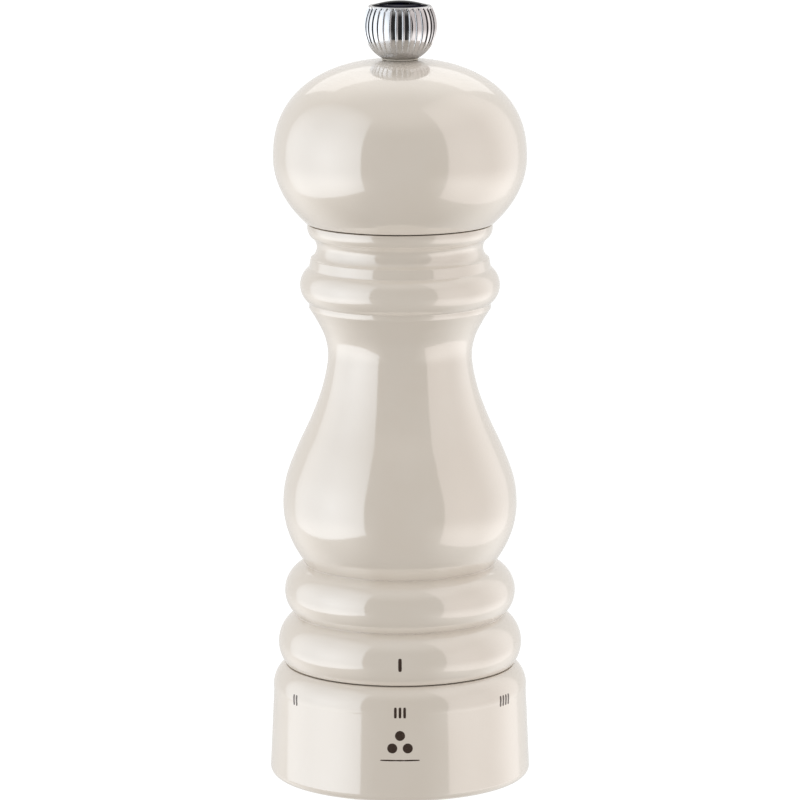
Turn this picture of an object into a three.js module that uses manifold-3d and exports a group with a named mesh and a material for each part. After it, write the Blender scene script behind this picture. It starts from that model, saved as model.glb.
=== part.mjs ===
// A turned wooden pepper mill, 180 mm tall, with a six-step grind ring in its foot.
//
// Frame: millimetres, +Z up, origin on the table under the mill's axis. The front, where the
// index mark is, faces -Y. The ring is drawn at its third setting.
//
// How it works: the knob clamps the head on a square shaft. Turning the head turns the shaft, and
// the shaft turns the rotor inside the fixed stator. Turning the grind ring screws a keyed
// adjuster up or down, and the adjuster carries the rotor, which slides on the shaft against a
// spring. A click spring holds each of the six settings.

import * as THREE from "three";
import { mergeVertices } from "three/addons/utils/BufferGeometryUtils.js";
import Module from "manifold-3d";

const wasm = await Module();
wasm.setup();

// ---------------------------------------------------------------- driving dimensions

// Clearances
const SEAM = 0.3; // open joint line between pieces that turn on each other
const RUN = 0.3; // radial play of a turning or sliding fit
const FIT = 0.15; // radial play of a fixed fit
const SEAT = 0.05; // between two faces that are clamped together
const EDGE = 0.02; // rise of a square step in a solid of revolution
const OVERCUT = 1; // cutting tools run this far past a face

// Shaft
const SHAFT_SIDE = 5; // square steel bar, across its flats
const THREAD_PITCH = 0.8; // the knob's thread
const SHAFT_CHAMFER = 0.4;
const SHAFT_END_GAP = 0.5; // from its top to the end of the knob's bore
const SHAFT_RECESS = 0.6; // from its foot up to the underside of the adjuster's hub
const THREAD_BURIED = 2.5; // thread below the head's crown

// Pepper chamber and the screws round it
const CHAMBER_RADIUS = 13.3; // bore right through the body
const SCREW_RADIUS = 1.1;
const SCREW_HEAD_RADIUS = 1.8;
const SCREW_HEAD_HEIGHT = 1.4;
const SCREW_BITE = 9; // how far a screw goes into wood
const SCREW_WALL = 1.1; // wood left between a screw and the chamber
const DRIVE_SLOT = 0.7; // cross recess in a screw head

// Burrs
const GRIND_GAP = 0.5; // rotor to stator at the third setting
const TOOTH_DEPTH = 0.8;
const STATOR_WALL = 1.5; // behind the stator's teeth
const THROAT_LENGTH = 1; // narrowest part of the stator
const MOUTH_RISE = 2.6; // from the throat up to the full width of the mouth
const TEETH = 24; // fine teeth, at the foot of the cone
const BREAKER_TEETH = 6; // coarse spiral blades above them
const BREAKER_DEPTH = 1.6;
const ROTOR_HEIGHT = 14.2;
const GRIND_HEIGHT = 7.2; // the part of the rotor that has fine teeth
const ROTOR_DROP = 0.7; // how far the rotor hangs below the stator
const ROTOR_LAND = 0.9; // straight part at the foot of its teeth
const ROTOR_STEP = 0.4; // height of the step from fine teeth to blades
const TOOTH_TWIST = Math.PI / 12; // one fine tooth
const BREAKER_TWIST = Math.PI * 0.42;
const FLANGE_THICK = 2.4; // stator's screw flange

// Spring on top of the rotor
const WIRE = 0.8;
const SPRING_TURNS = 4;
const SPRING_LENGTH = 5.8;
const SPRING_POCKET = 4; // depth of its pocket in the rotor
const POCKET_WALL = 0.85;
const CLIP_THICK = 0.8;
const CLIP_WIDTH = 2.3;
const CLIP_MOUTH = 3.7;
const CLIP_BITE = 0.4; // how deep it sits in the shaft
const WASHER_THICK = 0.65;

// Bridge and housing
const BRIDGE_THICK = 1.6;
const BRIDGE_ARM = 3; // width of an arm
const BRIDGE_LIP = 0.6; // how far its rim stands into the chamber
const HUB_HEIGHT = 4.4;
const BUSH_WALL = 1;
const HUB_WALL = 1.1;
const HOUSING_WALL = 2.3;
const HOUSING_STEP = 1.5; // how far the housing's head stands out over its skirt
const HOUSING_FLANGE = 2.9;

// Adjuster and its thread
const STEP_LIFT = 0.3; // the adjuster's rise for each setting
const STEP_ANGLE = 55; // degrees between settings
const SETTINGS = 6;
const REST_SETTING = 3;
const ADJUSTER_THICK = 3.6;
const ADJUSTER_RIM = 2.2;
const ADJUSTER_HUB = 6.8; // radius
const HUB_BELOW = 1; // how far its hub stands below the arms, and above them
const HUB_ABOVE = 1.2;
const SPOKE_WIDTH = 3.4;
const LUG_WIDTH = 5.6;
const SLOT_ROOM = 0.8; // left over a lug at the finest setting
const THREAD_DEPTH = 0.75;
const THREAD_TURNS = 2.5;
const RIDGE_SHARE = 0.42; // part of the lead that a thread ridge takes up
const CREST_SHARE = 0.6; // width of a ridge's crest, as part of its root
const THREAD_CLEARANCE = 0.2;
const THRUST_THICK = 0.8;

// Grind ring and the plastic insert inside it
const FOOT_RECESS = 3.2; // the mechanism stays this far above the table
const CIRCLIP_THICK = 1.2;
const CIRCLIP_WIDTH = 2.8;
const CIRCLIP_GROOVE = 1; // depth of its groove in the skirt
const CIRCLIP_MOUTH = 6; // width of its open gap
const CIRCLIP_OFFSET = 1.2; // skirt left below the circlip
const THREAD_ZONE = 8.2; // heights of the insert's three zones, from below
const STOP_ZONE = 3;
const CLICK_ZONE = 4.9;
const LIP_HEIGHT = 4.2; // wooden lip over the insert
const INSERT_WALL = 3.4;
const RING_WALL = 6.4;
const RING_TAPER = 0.85; // how much the ring narrows up to its shoulder
const FOOT_ROUND = 1.8;
const SHOULDER_HEIGHT = 6.1;
const SHOULDER_SWELL = 0.95;
const STOP_HALF_ANGLE = 32; // degrees, the stop block on the housing
const STOP_DEPTH = 1.1; // how far the block stands out
const STOP_SLACK = 1; // degrees left at either end of the ring's travel

// Click spring
const LEAF = 0.4;
const LEAF_HALF_ANGLE = 24; // degrees
const NOSE_HALF_ANGLE = 5;
const NOSE_FLAT = 0.6;
const RIVET_ANGLE = 4; // from the leaf's fixed end
const CLICK_DEPTH = 1;
const CLICK_ROOM = 1.5; // from the insert's bore out to the notched wall
const RIVET_RADIUS = 0.5;
const RIVET_BITE = 1.2; // how deep it sits in the skirt

// Body: walls outside the chamber, and heights from its lower edge up
const FOOT_WALL = 5.05;
const NOTCH_WALL = 2.55;
const LOW_BEAD = { height: 11.45, swell: 2.7 };
const HIGH_BEAD = { height: 11.9, swell: 3.6, wall: 8.65 };
const VASE_HEIGHT = 59.7;
const BELLY_WALL = 13.7;
const WAIST_WALL = 3.3;
const NECK_WALL = 7.6;
const NECK_STEP = 1.2;
const NECK_BEAD = { height: 8.1, swell: 2.05 };
const COVE_STEP = 2.2;
const COVE = { height: 5, swell: -1.4, wall: 7.2 };
const LIP = { height: 2.9, swell: 0.35, wall: 7.9 };

// Slip washer between body and head
const SLIP_WIDTH = 3.4;
const SLIP_SETBACK = 1; // from the chamber to the washer's bore
const SLIP_THICK = 1.2;

// Head
const HEAD_RADIUS = 29.05;
const HEAD_BELOW = 14.95; // widest point down to the seam
const HEAD_ABOVE = 22.55; // upper half axis, which the crown flat cuts off
const HEAD_LOW_AXIS = 22.95; // lower half axis, which the seam cuts off
const HEAD_LOW_POWER = 1.93;
const HEAD_HIGH_POWER = 2.3;
const CROWN_FLAT = 5.2; // radius of the flat that the knob sits on
const TENON_LENGTH = 8;
const PLATE_THICK = 2;
const PLATE_RIM = 2.7; // wood left round the drive plate

// Knob
const KNOB_RADIUS = 8.45;
const KNOB_SEAT = 0.4645; // width of its flat foot outside the head's bore
const KNOB_RIBS = 32;
const RIB_DEPTH = 0.28;
const KNOB_WASHER = 0.35;
const KNOB_EDGE = 0.2; // the washer and the insert stay this far inside the knob's foot
const MEDALLION_INSET = 2.25; // from the ball's radius to the medallion's
const MEDALLION_RIM = 0.85;
const MEDALLION_THICK = 0.9;
const MEDALLION_DOME = 1;
const MEDALLION_SWELL = 0.35;
const INSERT_SLEEVE = 1; // wall of the brass insert
const KNOB_CAP = 1.4; // metal left between the blind bore and the medallion

// Facets
const SIDES = 32; // round a large turned piece
const FINE = 48; // round a toothed piece
const BUSH = 16; // round a bush or a washer, and a multiple of 8 for the square bar
const SMALL = 10; // round a screw
const THREAD_FACETS = 24; // in one turn of the ring's thread

// ---------------------------------------------------------------- sizes that follow

const rad = THREE.MathUtils.degToRad;
const shaftCorner = SHAFT_SIDE * Math.SQRT1_2;
const threadRadius = SHAFT_SIDE / 2 - SEAT;
const squareHole = SHAFT_SIDE + FIT * 2;

const screwCircle = CHAMBER_RADIUS + SCREW_WALL + SCREW_RADIUS;
const flangeRadius = screwCircle + SCREW_HEAD_RADIUS + FIT;
const statorRadius = screwCircle - SCREW_HEAD_RADIUS - FIT;
const rotorFoot = statorRadius - STATOR_WALL - TOOTH_DEPTH - GRIND_GAP;
const housingBore = flangeRadius + FIT;
const skirtRadius = housingBore + HOUSING_WALL;
const housingHead = skirtRadius + HOUSING_STEP;
const counterbore = housingHead + FIT;
const insertBore = skirtRadius + RUN;
const insertRadius = insertBore + INSERT_WALL;
const clickBore = insertBore + CLICK_ROOM;
const ringBore = insertRadius + FIT;
const footRadius = ringBore + RING_WALL;
const bodyFoot = counterbore + FOOT_WALL;
const notchRadius = counterbore + NOTCH_WALL;

const springInner = shaftCorner + RUN + SEAT;
const springOuter = springInner + WIRE;
const pocketRadius = springOuter + RUN;
const breakerRadius = pocketRadius + POCKET_WALL;
const rotorNeck = breakerRadius + 0.35 * (rotorFoot - breakerRadius);

// Heights, from the table up
const skirtBottom = FOOT_RECESS;
const circlipBottom = skirtBottom + CIRCLIP_OFFSET;
const insertBottom = circlipBottom + CIRCLIP_THICK + RUN;
const stopBottom = insertBottom + THREAD_ZONE;
const clickBottom = stopBottom + STOP_ZONE;
const insertTop = clickBottom + CLICK_ZONE;
const ringTop = insertTop + SEAT + LIP_HEIGHT;
const bodyBottom = ringTop + SEAM;

const lead = (STEP_LIFT * 360) / STEP_ANGLE;
const adjusterBottom = insertBottom + (THREAD_ZONE - ADJUSTER_THICK) / 2 - STEP_LIFT;
const hubBottom = adjusterBottom - HUB_BELOW;
const hubTop = adjusterBottom + ADJUSTER_THICK + HUB_ABOVE;
const rotorBottom = hubTop + SEAT + THRUST_THICK + SEAT;
const rotorTop = rotorBottom + ROTOR_HEIGHT;
const springBottom = rotorTop - SPRING_POCKET + SEAT;
const springSeat = springBottom + SPRING_LENGTH + SEAT;
const clipBottom = springSeat + WASHER_THICK + SEAT;
const bridgeBottom = clipBottom + CLIP_THICK + SEAT;
const statorBottom = rotorBottom + ROTOR_DROP;
const flangeBottom = bridgeBottom - SEAT - FLANGE_THICK;
const housingFlange = bridgeBottom + BRIDGE_THICK + SEAT;
const housingTop = housingFlange + HOUSING_FLANGE;
const counterboreTop = housingTop + SEAT;

const beadOneTop = LOW_BEAD.height;
const beadTwoTop = beadOneTop + HIGH_BEAD.height;
const vaseTop = beadTwoTop + VASE_HEIGHT;
const neckBeadTop = vaseTop + NECK_STEP + NECK_BEAD.height;
const coveBottom = neckBeadTop + COVE_STEP;
const lipBottom = coveBottom + COVE.height;
const rebate = CHAMBER_RADIUS + SLIP_WIDTH + SLIP_SETBACK;
const bodyHeight = lipBottom + LIP.height;

const headBottom = bodyBottom + bodyHeight + SEAM;
const crown = headBottom + HEAD_BELOW + headRise(CROWN_FLAT);
const headBore = shaftCorner + RUN;
const knobFoot = headBore + KNOB_SEAT;
const tenonRadius = CHAMBER_RADIUS - RUN;
const plateRadius = tenonRadius - PLATE_RIM;
const tenonBottom = headBottom - TENON_LENGTH;
const plateScrewCircle = (shaftCorner + plateRadius) / 2;
const plateScrewAngles = [0, Math.PI];

const knobBottom = crown + SEAT + KNOB_WASHER + SEAT;
const knobCentre = Math.sqrt(KNOB_RADIUS ** 2 - knobFoot ** 2); // above the knob's foot
const medallionRadius = KNOB_RADIUS - MEDALLION_INSET;
const knobTop = knobCentre + Math.sqrt(KNOB_RADIUS ** 2 - (medallionRadius + MEDALLION_RIM) ** 2);
const knobBoreTop = knobTop - MEDALLION_THICK - SEAT - KNOB_CAP;
const sleeveBore = threadRadius + FIT;
const sleeveRadius = sleeveBore + INSERT_SLEEVE;
const shaftTop = knobBottom + knobBoreTop - SHAFT_END_GAP;
const threadBottom = crown - THREAD_BURIED;
const clipGroove = threadRadius - CLIP_BITE;
const liftToFinest = STEP_LIFT * (REST_SETTING - 1);
const liftToCoarsest = -STEP_LIFT * (SETTINGS - REST_SETTING);

// ---------------------------------------------------------------- drawing tools

// A half outline in the (radius, height) plane, drawn point by point.
class Outline {
  constructor(radius, height) {
    this.points = [new THREE.Vector2(radius, height)];
  }

  get end() {
    return this.points.at(-1);
  }

  to(radius, height) {
    this.points.push(new THREE.Vector2(radius, height));
    return this;
  }

  // A circular arc that swells outwards from its chord by swell, or inwards if it is negative.
  arc(radius, height, swell, steps) {
    const start = this.end.clone();
    const chord = new THREE.Vector2(radius, height).sub(start);
    const half = chord.length() / 2;
    const bend = (half * half + swell * swell) / (2 * swell);
    const out = new THREE.Vector2(chord.y, -chord.x).normalize();
    const centre = start.clone().addScaledVector(chord, 0.5).addScaledVector(out, swell - bend);
    const spoke = start.clone().sub(centre);
    const sweep = 2 * Math.asin(half / bend);
    for (let i = 1; i <= steps; i++) {
      const turned = spoke.clone().rotateAround(new THREE.Vector2(), (sweep * i) / steps);
      this.points.push(turned.add(centre));
    }
    return this;
  }

  // A smooth curve from here through the given [radius, height] points.
  curve(points, steps) {
    const through = [this.end, ...points.map(([r, z]) => new THREE.Vector2(r, z))];
    this.points.push(...new THREE.SplineCurve(through).getPoints(steps).slice(1));
    return this;
  }
}

// Turns a closed outline about Z. The outline runs up its outside and down its inside.
function turn(outline, sides = SIDES) {
  const points = outline.points.map((p) => p.clone());
  const onAxis = points[0].x === 0 && points.at(-1).x === 0;
  if (!onAxis) points.push(points[0].clone());
  return new THREE.LatheGeometry(points, sides).rotateX(Math.PI / 2);
}

// A plain washer or tube.
function tube(inner, outer, height, sides = BUSH) {
  return turn(new Outline(inner, 0).to(outer, 0).to(outer, height).to(inner, height), sides);
}

function box(x, y, z, at) {
  return new THREE.BoxGeometry(x, y, z).translate(...at);
}

// A bar along X between two radii, standing on height 0.
function bar(from, to, width, height) {
  return box(to - from, width, height, [(from + to) / 2, 0, height / 2]);
}

// A cylinder that stands on the point at.
function pin(radius, height, at = [0, 0, 0], sides = SMALL) {
  const shape = new THREE.CylinderGeometry(radius, radius, height, sides).rotateX(Math.PI / 2);
  return shape.translate(at[0], at[1], at[2] + height / 2);
}

// The tool for a round hole through a piece that stands on height 0.
function hole(radius, height) {
  return pin(radius, height + 2 * OVERCUT, [0, 0, -OVERCUT], BUSH);
}

// Skins rings of points, all with the same count and running anticlockwise seen from above as
// they rise. A loop joins its last ring to its first, and any other row of rings gets end caps.
function skin(rings, loop = false) {
  const count = rings[0].length;
  const points = rings.flat();
  const faces = [];
  const joins = loop ? rings.length : rings.length - 1;
  for (let k = 0; k < joins; k++) {
    const low = k * count;
    const high = ((k + 1) % rings.length) * count;
    for (let i = 0; i < count; i++) {
      const j = (i + 1) % count;
      faces.push(low + i, low + j, high + j, low + i, high + j, high + i);
    }
  }
  if (!loop) {
    for (const [ring, up] of [[rings[0], false], [rings.at(-1), true]]) {
      const first = up ? (rings.length - 1) * count : 0;
      const middle = points.length;
      points.push(ring.reduce((sum, p) => sum.add(p), new THREE.Vector3()).divideScalar(count));
      for (let i = 0; i < count; i++) {
        const j = (i + 1) % count;
        faces.push(middle, first + (up ? i : j), first + (up ? j : i));
      }
    }
  }
  const shape = new THREE.BufferGeometry().setFromPoints(points);
  return shape.setIndex(faces);
}

// One ring about Z, turned by an angle: radiusAt is a radius, or gives one for each angle.
function ringAt(height, radiusAt, sides = FINE, turned = 0) {
  return Array.from({ length: sides }, (_, i) => {
    const angle = (i / sides) * 2 * Math.PI;
    const radius = typeof radiusAt === "function" ? radiusAt(angle) : radiusAt;
    return new THREE.Vector3(...polar(radius, angle + turned, height));
  });
}

// The radius, at each angle, of a square hole or bar with the given side.
function square(side) {
  return (angle) => side / 2 / Math.max(Math.abs(Math.cos(angle)), Math.abs(Math.sin(angle)));
}

// A tooth outline that runs between radius - depth and radius.
function toothed(radius, depth, teeth) {
  return (angle) => {
    const phase = ((angle * teeth) / (2 * Math.PI)) % 1;
    return radius - depth * Math.abs(2 * phase - 1);
  };
}

// Sweeps a small outline round Z along a helix. section gives [radius, height] points
// anticlockwise, and rise is the height gained over the whole sweep.
function helix({ section, from, sweep, rise, steps }) {
  const rings = [];
  for (let k = 0; k <= steps; k++) {
    const angle = from + (sweep * k) / steps;
    const lift = (rise * k) / steps;
    rings.push(section.map(([r, z]) => new THREE.Vector3(...polar(r, angle, z + lift))));
  }
  return skin(sweep > 0 ? rings.reverse() : rings);
}

// ---------------------------------------------------------------- cutting and joining

function solid(geometry) {
  const bare = new THREE.BufferGeometry().setAttribute("position", geometry.attributes.position);
  if (geometry.index) bare.setIndex(geometry.index);
  const merged = mergeVertices(bare, 1e-4);
  return new wasm.Manifold(new wasm.Mesh({
    numProp: 3,
    vertProperties: merged.attributes.position.array,
    triVerts: new Uint32Array(merged.index.array),
  }));
}

function shape(made) {
  const mesh = made.getMesh();
  return new THREE.BufferGeometry()
    .setAttribute("position", new THREE.BufferAttribute(mesh.vertProperties, 3))
    .setIndex(new THREE.BufferAttribute(mesh.triVerts, 1));
}

function cut(geometry, tools) {
  return shape(tools.reduce((left, tool) => left.subtract(solid(tool)), solid(geometry)));
}

function join(pieces) {
  return shape(pieces.slice(1).reduce((all, piece) => all.add(solid(piece)), solid(pieces[0])));
}

// Copies of a shape made by build(angle) at equal steps round Z.
function around(count, build, from = 0) {
  return Array.from({ length: count }, (_, i) => build(from + (i * 2 * Math.PI) / count));
}

function polar(radius, angle, height = 0) {
  return [radius * Math.cos(angle), radius * Math.sin(angle), height];
}

// ---------------------------------------------------------------- finishes

function finish(color, roughness, metalness = 0) {
  return new THREE.MeshStandardMaterial({ color, roughness, metalness });
}

const IVORY = finish(0xe6dfd4, 0.15);
const CHROME = finish(0xd9dadd, 0.08, 1);
const STEEL = finish(0xa9abad, 0.35, 1);
const HARD_STEEL = finish(0x77797c, 0.45, 1);
const BRASS = finish(0xc6a256, 0.35, 1);
const BLACK_PLASTIC = finish(0x1d1d1e, 0.5);
const WHITE_PLASTIC = finish(0xdedad0, 0.45);

const mill = new THREE.Group();

// Adds one named piece to a group, at a height and a turn about Z.
function add(group, name, geometry, material, height = 0, turned = 0) {
  const mesh = new THREE.Mesh(geometry, material);
  mesh.name = name;
  mesh.position.z = height;
  mesh.rotation.z = turned;
  group.add(mesh);
}

function assembly() {
  const group = new THREE.Group();
  mill.add(group);
  return group;
}

// ---------------------------------------------------------------- fasteners

// A pan-head screw that points up, with its head's upper face at height 0.
function screw(length) {
  const turned = turn(new Outline(0, -SCREW_HEAD_HEIGHT)
    .to(SCREW_HEAD_RADIUS * 0.7, -SCREW_HEAD_HEIGHT)
    .to(SCREW_HEAD_RADIUS, -SCREW_HEAD_HEIGHT / 2)
    .to(SCREW_HEAD_RADIUS, 0)
    .to(SCREW_RADIUS, 0)
    .to(SCREW_RADIUS, length - SCREW_RADIUS * 1.5)
    .to(0, length), SMALL);
  const reach = SCREW_HEAD_RADIUS * 1.2;
  const at = [0, 0, -SCREW_HEAD_HEIGHT];
  return cut(turned, [box(reach, DRIVE_SLOT, DRIVE_SLOT, at), box(DRIVE_SLOT, reach, DRIVE_SLOT, at)]);
}

// The tool for such a screw's hole, from one height up. It is overcut at both ends.
function screwHole(circle, angle, from, depth) {
  return pin(SCREW_RADIUS + FIT, depth + 2 * OVERCUT, polar(circle, angle, from - OVERCUT));
}

// ---------------------------------------------------------------- body

const screwAngles = around(3, (angle) => angle, Math.PI / 2);
const armAngles = around(3, (angle) => angle, Math.PI / 6);

function bodyShape() {
  const neck = CHAMBER_RADIUS + NECK_WALL;
  const belly = CHAMBER_RADIUS + BELLY_WALL;
  const waist = CHAMBER_RADIUS + WAIST_WALL;
  const shoulder = CHAMBER_RADIUS + HIGH_BEAD.wall;
  const cove = CHAMBER_RADIUS + COVE.wall;
  const lip = CHAMBER_RADIUS + LIP.wall;
  const vase = (share) => beadTwoTop + share * VASE_HEIGHT;
  const swell = (share) => waist + share * (belly - waist); // between the waist and the belly
  const flare = (share) => waist + share * (neck - waist); // between the waist and the neck
  const outline = new Outline(counterbore, 0)
    .to(bodyFoot, 0)
    .arc(notchRadius, beadOneTop, LOW_BEAD.swell, 5)
    .arc(shoulder, beadTwoTop, HIGH_BEAD.swell, 5)
    .curve([
      [swell(0.78), vase(0.077)],
      [swell(0.94), vase(0.152)],
      [belly, vase(0.236)],
      [swell(0.93), vase(0.337)],
      [swell(0.68), vase(0.454)],
      [swell(0.37), vase(0.571)],
      [swell(0.125), vase(0.688)],
      [waist, vase(0.802)],
      [flare(0.13), vase(0.881)],
      [flare(0.56), vase(0.948)],
      [neck, vase(1)],
    ], 16)
    .to(neck, vaseTop + NECK_STEP)
    .arc(neck, neckBeadTop, NECK_BEAD.swell, 5)
    .to(cove, coveBottom)
    .arc(cove, lipBottom, COVE.swell, 4)
    .arc(lip, bodyHeight, LIP.swell, 2)
    .to(rebate, bodyHeight)
    .to(rebate, bodyHeight - SLIP_THICK)
    .to(CHAMBER_RADIUS, bodyHeight - SLIP_THICK)
    .to(CHAMBER_RADIUS, counterboreTop - bodyBottom)
    .to(counterbore, counterboreTop - bodyBottom);
  const top = counterboreTop - bodyBottom;
  const holes = screwAngles.map((angle) => screwHole(screwCircle, angle, top, SCREW_BITE));
  return cut(turn(outline), holes);
}

function addBody() {
  const group = assembly();
  add(group, "body", bodyShape(), IVORY, bodyBottom);
  const slip = tube(rebate - SLIP_WIDTH - FIT, rebate - FIT, SLIP_THICK, SIDES);
  add(group, "slip_washer", slip, WHITE_PLASTIC, bodyBottom + bodyHeight - SLIP_THICK + SEAT);
}

// ---------------------------------------------------------------- head and knob

// Radius of the head's skin at a height above or below its widest point.
function headRadius(rise) {
  const axis = rise < 0 ? HEAD_LOW_AXIS : HEAD_ABOVE;
  const power = rise < 0 ? HEAD_LOW_POWER : HEAD_HIGH_POWER;
  return HEAD_RADIUS * (1 - Math.abs(rise / axis) ** power) ** (1 / power);
}

// Height of the head's upper skin above its widest point, at a radius.
function headRise(radius) {
  return HEAD_ABOVE * (1 - (radius / HEAD_RADIUS) ** HEAD_HIGH_POWER) ** (1 / HEAD_HIGH_POWER);
}

function headShape() {
  const outline = new Outline(headBore, PLATE_THICK + SEAT - TENON_LENGTH)
    .to(plateRadius + FIT, PLATE_THICK + SEAT - TENON_LENGTH)
    .to(plateRadius + FIT, -TENON_LENGTH)
    .to(tenonRadius, -TENON_LENGTH)
    .to(tenonRadius, 0);
  const lowSteps = 6;
  for (let i = 0; i <= lowSteps; i++) {
    const rise = -HEAD_BELOW * (1 - i / lowSteps);
    outline.to(headRadius(rise), HEAD_BELOW + rise);
  }
  const highSteps = 11;
  for (let i = 1; i <= highSteps; i++) {
    const turned = (i / highSteps) * Math.acos(CROWN_FLAT / HEAD_RADIUS);
    const radius = HEAD_RADIUS * Math.cos(turned);
    outline.to(radius, HEAD_BELOW + headRise(radius));
  }
  outline.to(headBore, HEAD_BELOW + headRise(CROWN_FLAT));
  const seat = PLATE_THICK - TENON_LENGTH;
  const holes = plateScrewAngles.map((angle) => screwHole(plateScrewCircle, angle, seat, SCREW_BITE));
  return cut(turn(outline), holes);
}

function drivePlateShape() {
  const holes = plateScrewAngles.map((angle) => screwHole(plateScrewCircle, angle, 0, PLATE_THICK));
  const drive = box(squareHole, squareHole, PLATE_THICK * 3, [0, 0, 0]);
  return cut(pin(plateRadius, PLATE_THICK, [0, 0, 0], SIDES), [drive, ...holes]);
}

function knobShape() {
  const sides = KNOB_RIBS * 2;
  const low = Math.asin(-knobCentre / KNOB_RADIUS);
  const high = Math.asin((knobTop - knobCentre) / KNOB_RADIUS);
  const recess = medallionRadius + FIT;
  const rings = [];
  const steps = 7;
  for (let k = 0; k <= steps; k++) {
    const latitude = low + ((high - low) * k) / steps;
    const depth = k === 0 || k === steps ? 0 : RIB_DEPTH;
    const rib = toothed(KNOB_RADIUS * Math.cos(latitude), depth, KNOB_RIBS);
    rings.push(ringAt(knobCentre + KNOB_RADIUS * Math.sin(latitude), rib, sides));
  }
  rings.push(ringAt(knobTop, recess, sides), ringAt(knobTop - MEDALLION_THICK, recess, sides));
  const bore = pin(sleeveRadius + FIT, knobBoreTop + OVERCUT, [0, 0, -OVERCUT], BUSH);
  return cut(skin(rings), [bore]);
}

function medallionShape() {
  return turn(new Outline(0, 0)
    .to(medallionRadius, 0)
    .to(medallionRadius, MEDALLION_THICK)
    .arc(0, MEDALLION_THICK + MEDALLION_DOME, MEDALLION_SWELL, 3), SIDES);
}

function addHead() {
  const group = assembly();
  add(group, "head", headShape(), IVORY, headBottom);
  add(group, "drive_plate", drivePlateShape(), STEEL, tenonBottom);
  plateScrewAngles.forEach((angle, i) => {
    const fastener = screw(SCREW_BITE).translate(...polar(plateScrewCircle, angle));
    add(group, `drive_plate_screw_${i + 1}`, fastener, STEEL, tenonBottom - SEAT);
  });
}

function addKnob() {
  const group = assembly();
  group.position.z = knobBottom;
  add(group, "knob", knobShape(), CHROME);
  add(group, "knob_medallion", medallionShape(), STEEL, knobTop - MEDALLION_THICK + SEAT);
  const sleeve = tube(sleeveBore, sleeveRadius, knobBoreTop - 2 * KNOB_EDGE);
  add(group, "knob_thread_insert", sleeve, BRASS, KNOB_EDGE);
  const washer = tube(threadRadius + RUN, knobFoot - KNOB_EDGE, KNOB_WASHER);
  add(group, "knob_washer", washer, BLACK_PLASTIC, -SEAT - KNOB_WASHER);
}

// ---------------------------------------------------------------- shaft

function shaftShape() {
  const flats = square(SHAFT_SIDE);
  const bottom = hubBottom + SHAFT_RECESS;
  const barBottom = hubTop + liftToFinest + SEAT;
  const clipTop = clipBottom + CLIP_THICK + SEAT;
  const levels = [
    [bottom, threadRadius - SHAFT_CHAMFER],
    [bottom + SHAFT_CHAMFER, threadRadius],
    [barBottom, threadRadius],
    [barBottom + EDGE, flats],
    [clipBottom - SEAT, flats],
    [clipBottom - SEAT + EDGE, clipGroove],
    [clipTop - EDGE, clipGroove],
    [clipTop, flats],
    [threadBottom, flats],
    [threadBottom + SHAFT_CHAMFER, threadRadius],
    [shaftTop - SHAFT_CHAMFER, threadRadius],
    [shaftTop, threadRadius - SHAFT_CHAMFER],
  ];
  return skin(levels.map(([height, radius]) => ringAt(height, radius, BUSH)));
}

// An open coil of round wire.
function springShape() {
  const sides = 6;
  const section = Array.from({ length: sides }, (_, i) => {
    const [out, up] = polar(WIRE / 2, (i / sides) * 2 * Math.PI);
    return [springInner + WIRE / 2 + out, WIRE / 2 + up];
  });
  return helix({
    section,
    from: 0,
    sweep: SPRING_TURNS * 2 * Math.PI,
    rise: SPRING_LENGTH - WIRE,
    steps: SPRING_TURNS * 12,
  });
}

function addShaft() {
  const group = assembly();
  add(group, "drive_shaft", shaftShape(), STEEL);
  const clipRadius = threadRadius + CLIP_WIDTH;
  const clip = tube(clipGroove + FIT, clipRadius, CLIP_THICK);
  const mouth = bar(clipGroove / 2, clipRadius + OVERCUT, CLIP_MOUTH, CLIP_THICK * 3);
  const open = cut(clip, [mouth.translate(0, 0, -CLIP_THICK)]);
  add(group, "shaft_clip", open, HARD_STEEL, clipBottom);
  const seat = tube(shaftCorner + FIT, springOuter + FIT, WASHER_THICK);
  add(group, "spring_washer", seat, STEEL, springSeat);
  add(group, "rotor_spring", springShape(), STEEL, springBottom);
}

// ---------------------------------------------------------------- burrs

// Local heights: 0 at the foot of the rotor. Fine teeth run up a cone to the neck, and a few
// spiral blades above them break the corns. The twist adds up to a quarter turn.
function rotorShape() {
  const reach = breakerRadius + BREAKER_DEPTH;
  const rings = [
    ringAt(0, toothed(rotorFoot, TOOTH_DEPTH, TEETH)),
    ringAt(ROTOR_LAND, toothed(rotorFoot, TOOTH_DEPTH, TEETH)),
    ringAt((ROTOR_LAND + GRIND_HEIGHT) / 2,
      toothed((rotorFoot + rotorNeck) / 2, TOOTH_DEPTH * 0.75, TEETH), FINE, TOOTH_TWIST / 2),
    ringAt(GRIND_HEIGHT, toothed(rotorNeck, TOOTH_DEPTH / 2, TEETH), FINE, TOOTH_TWIST),
  ];
  const steps = 4;
  const start = GRIND_HEIGHT + ROTOR_STEP;
  for (let k = 0; k <= steps; k++) {
    const share = k / steps;
    const radius = rotorNeck + (reach - rotorNeck) * Math.min(1, share + 1 / steps);
    const depth = Math.min(BREAKER_DEPTH * (0.5 + share), radius - breakerRadius);
    const height = start + (ROTOR_HEIGHT - start) * share;
    const turned = TOOTH_TWIST + BREAKER_TWIST * share;
    rings.push(ringAt(height, toothed(radius, depth, BREAKER_TEETH), FINE, turned));
  }
  const floor = [0, 0, ROTOR_HEIGHT - SPRING_POCKET];
  const pocket = pin(pocketRadius, SPRING_POCKET + OVERCUT, floor, BUSH);
  return cut(skin(rings), [pocket, box(squareHole, squareHole, ROTOR_HEIGHT * 3, [0, 0, 0])]);
}

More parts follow.
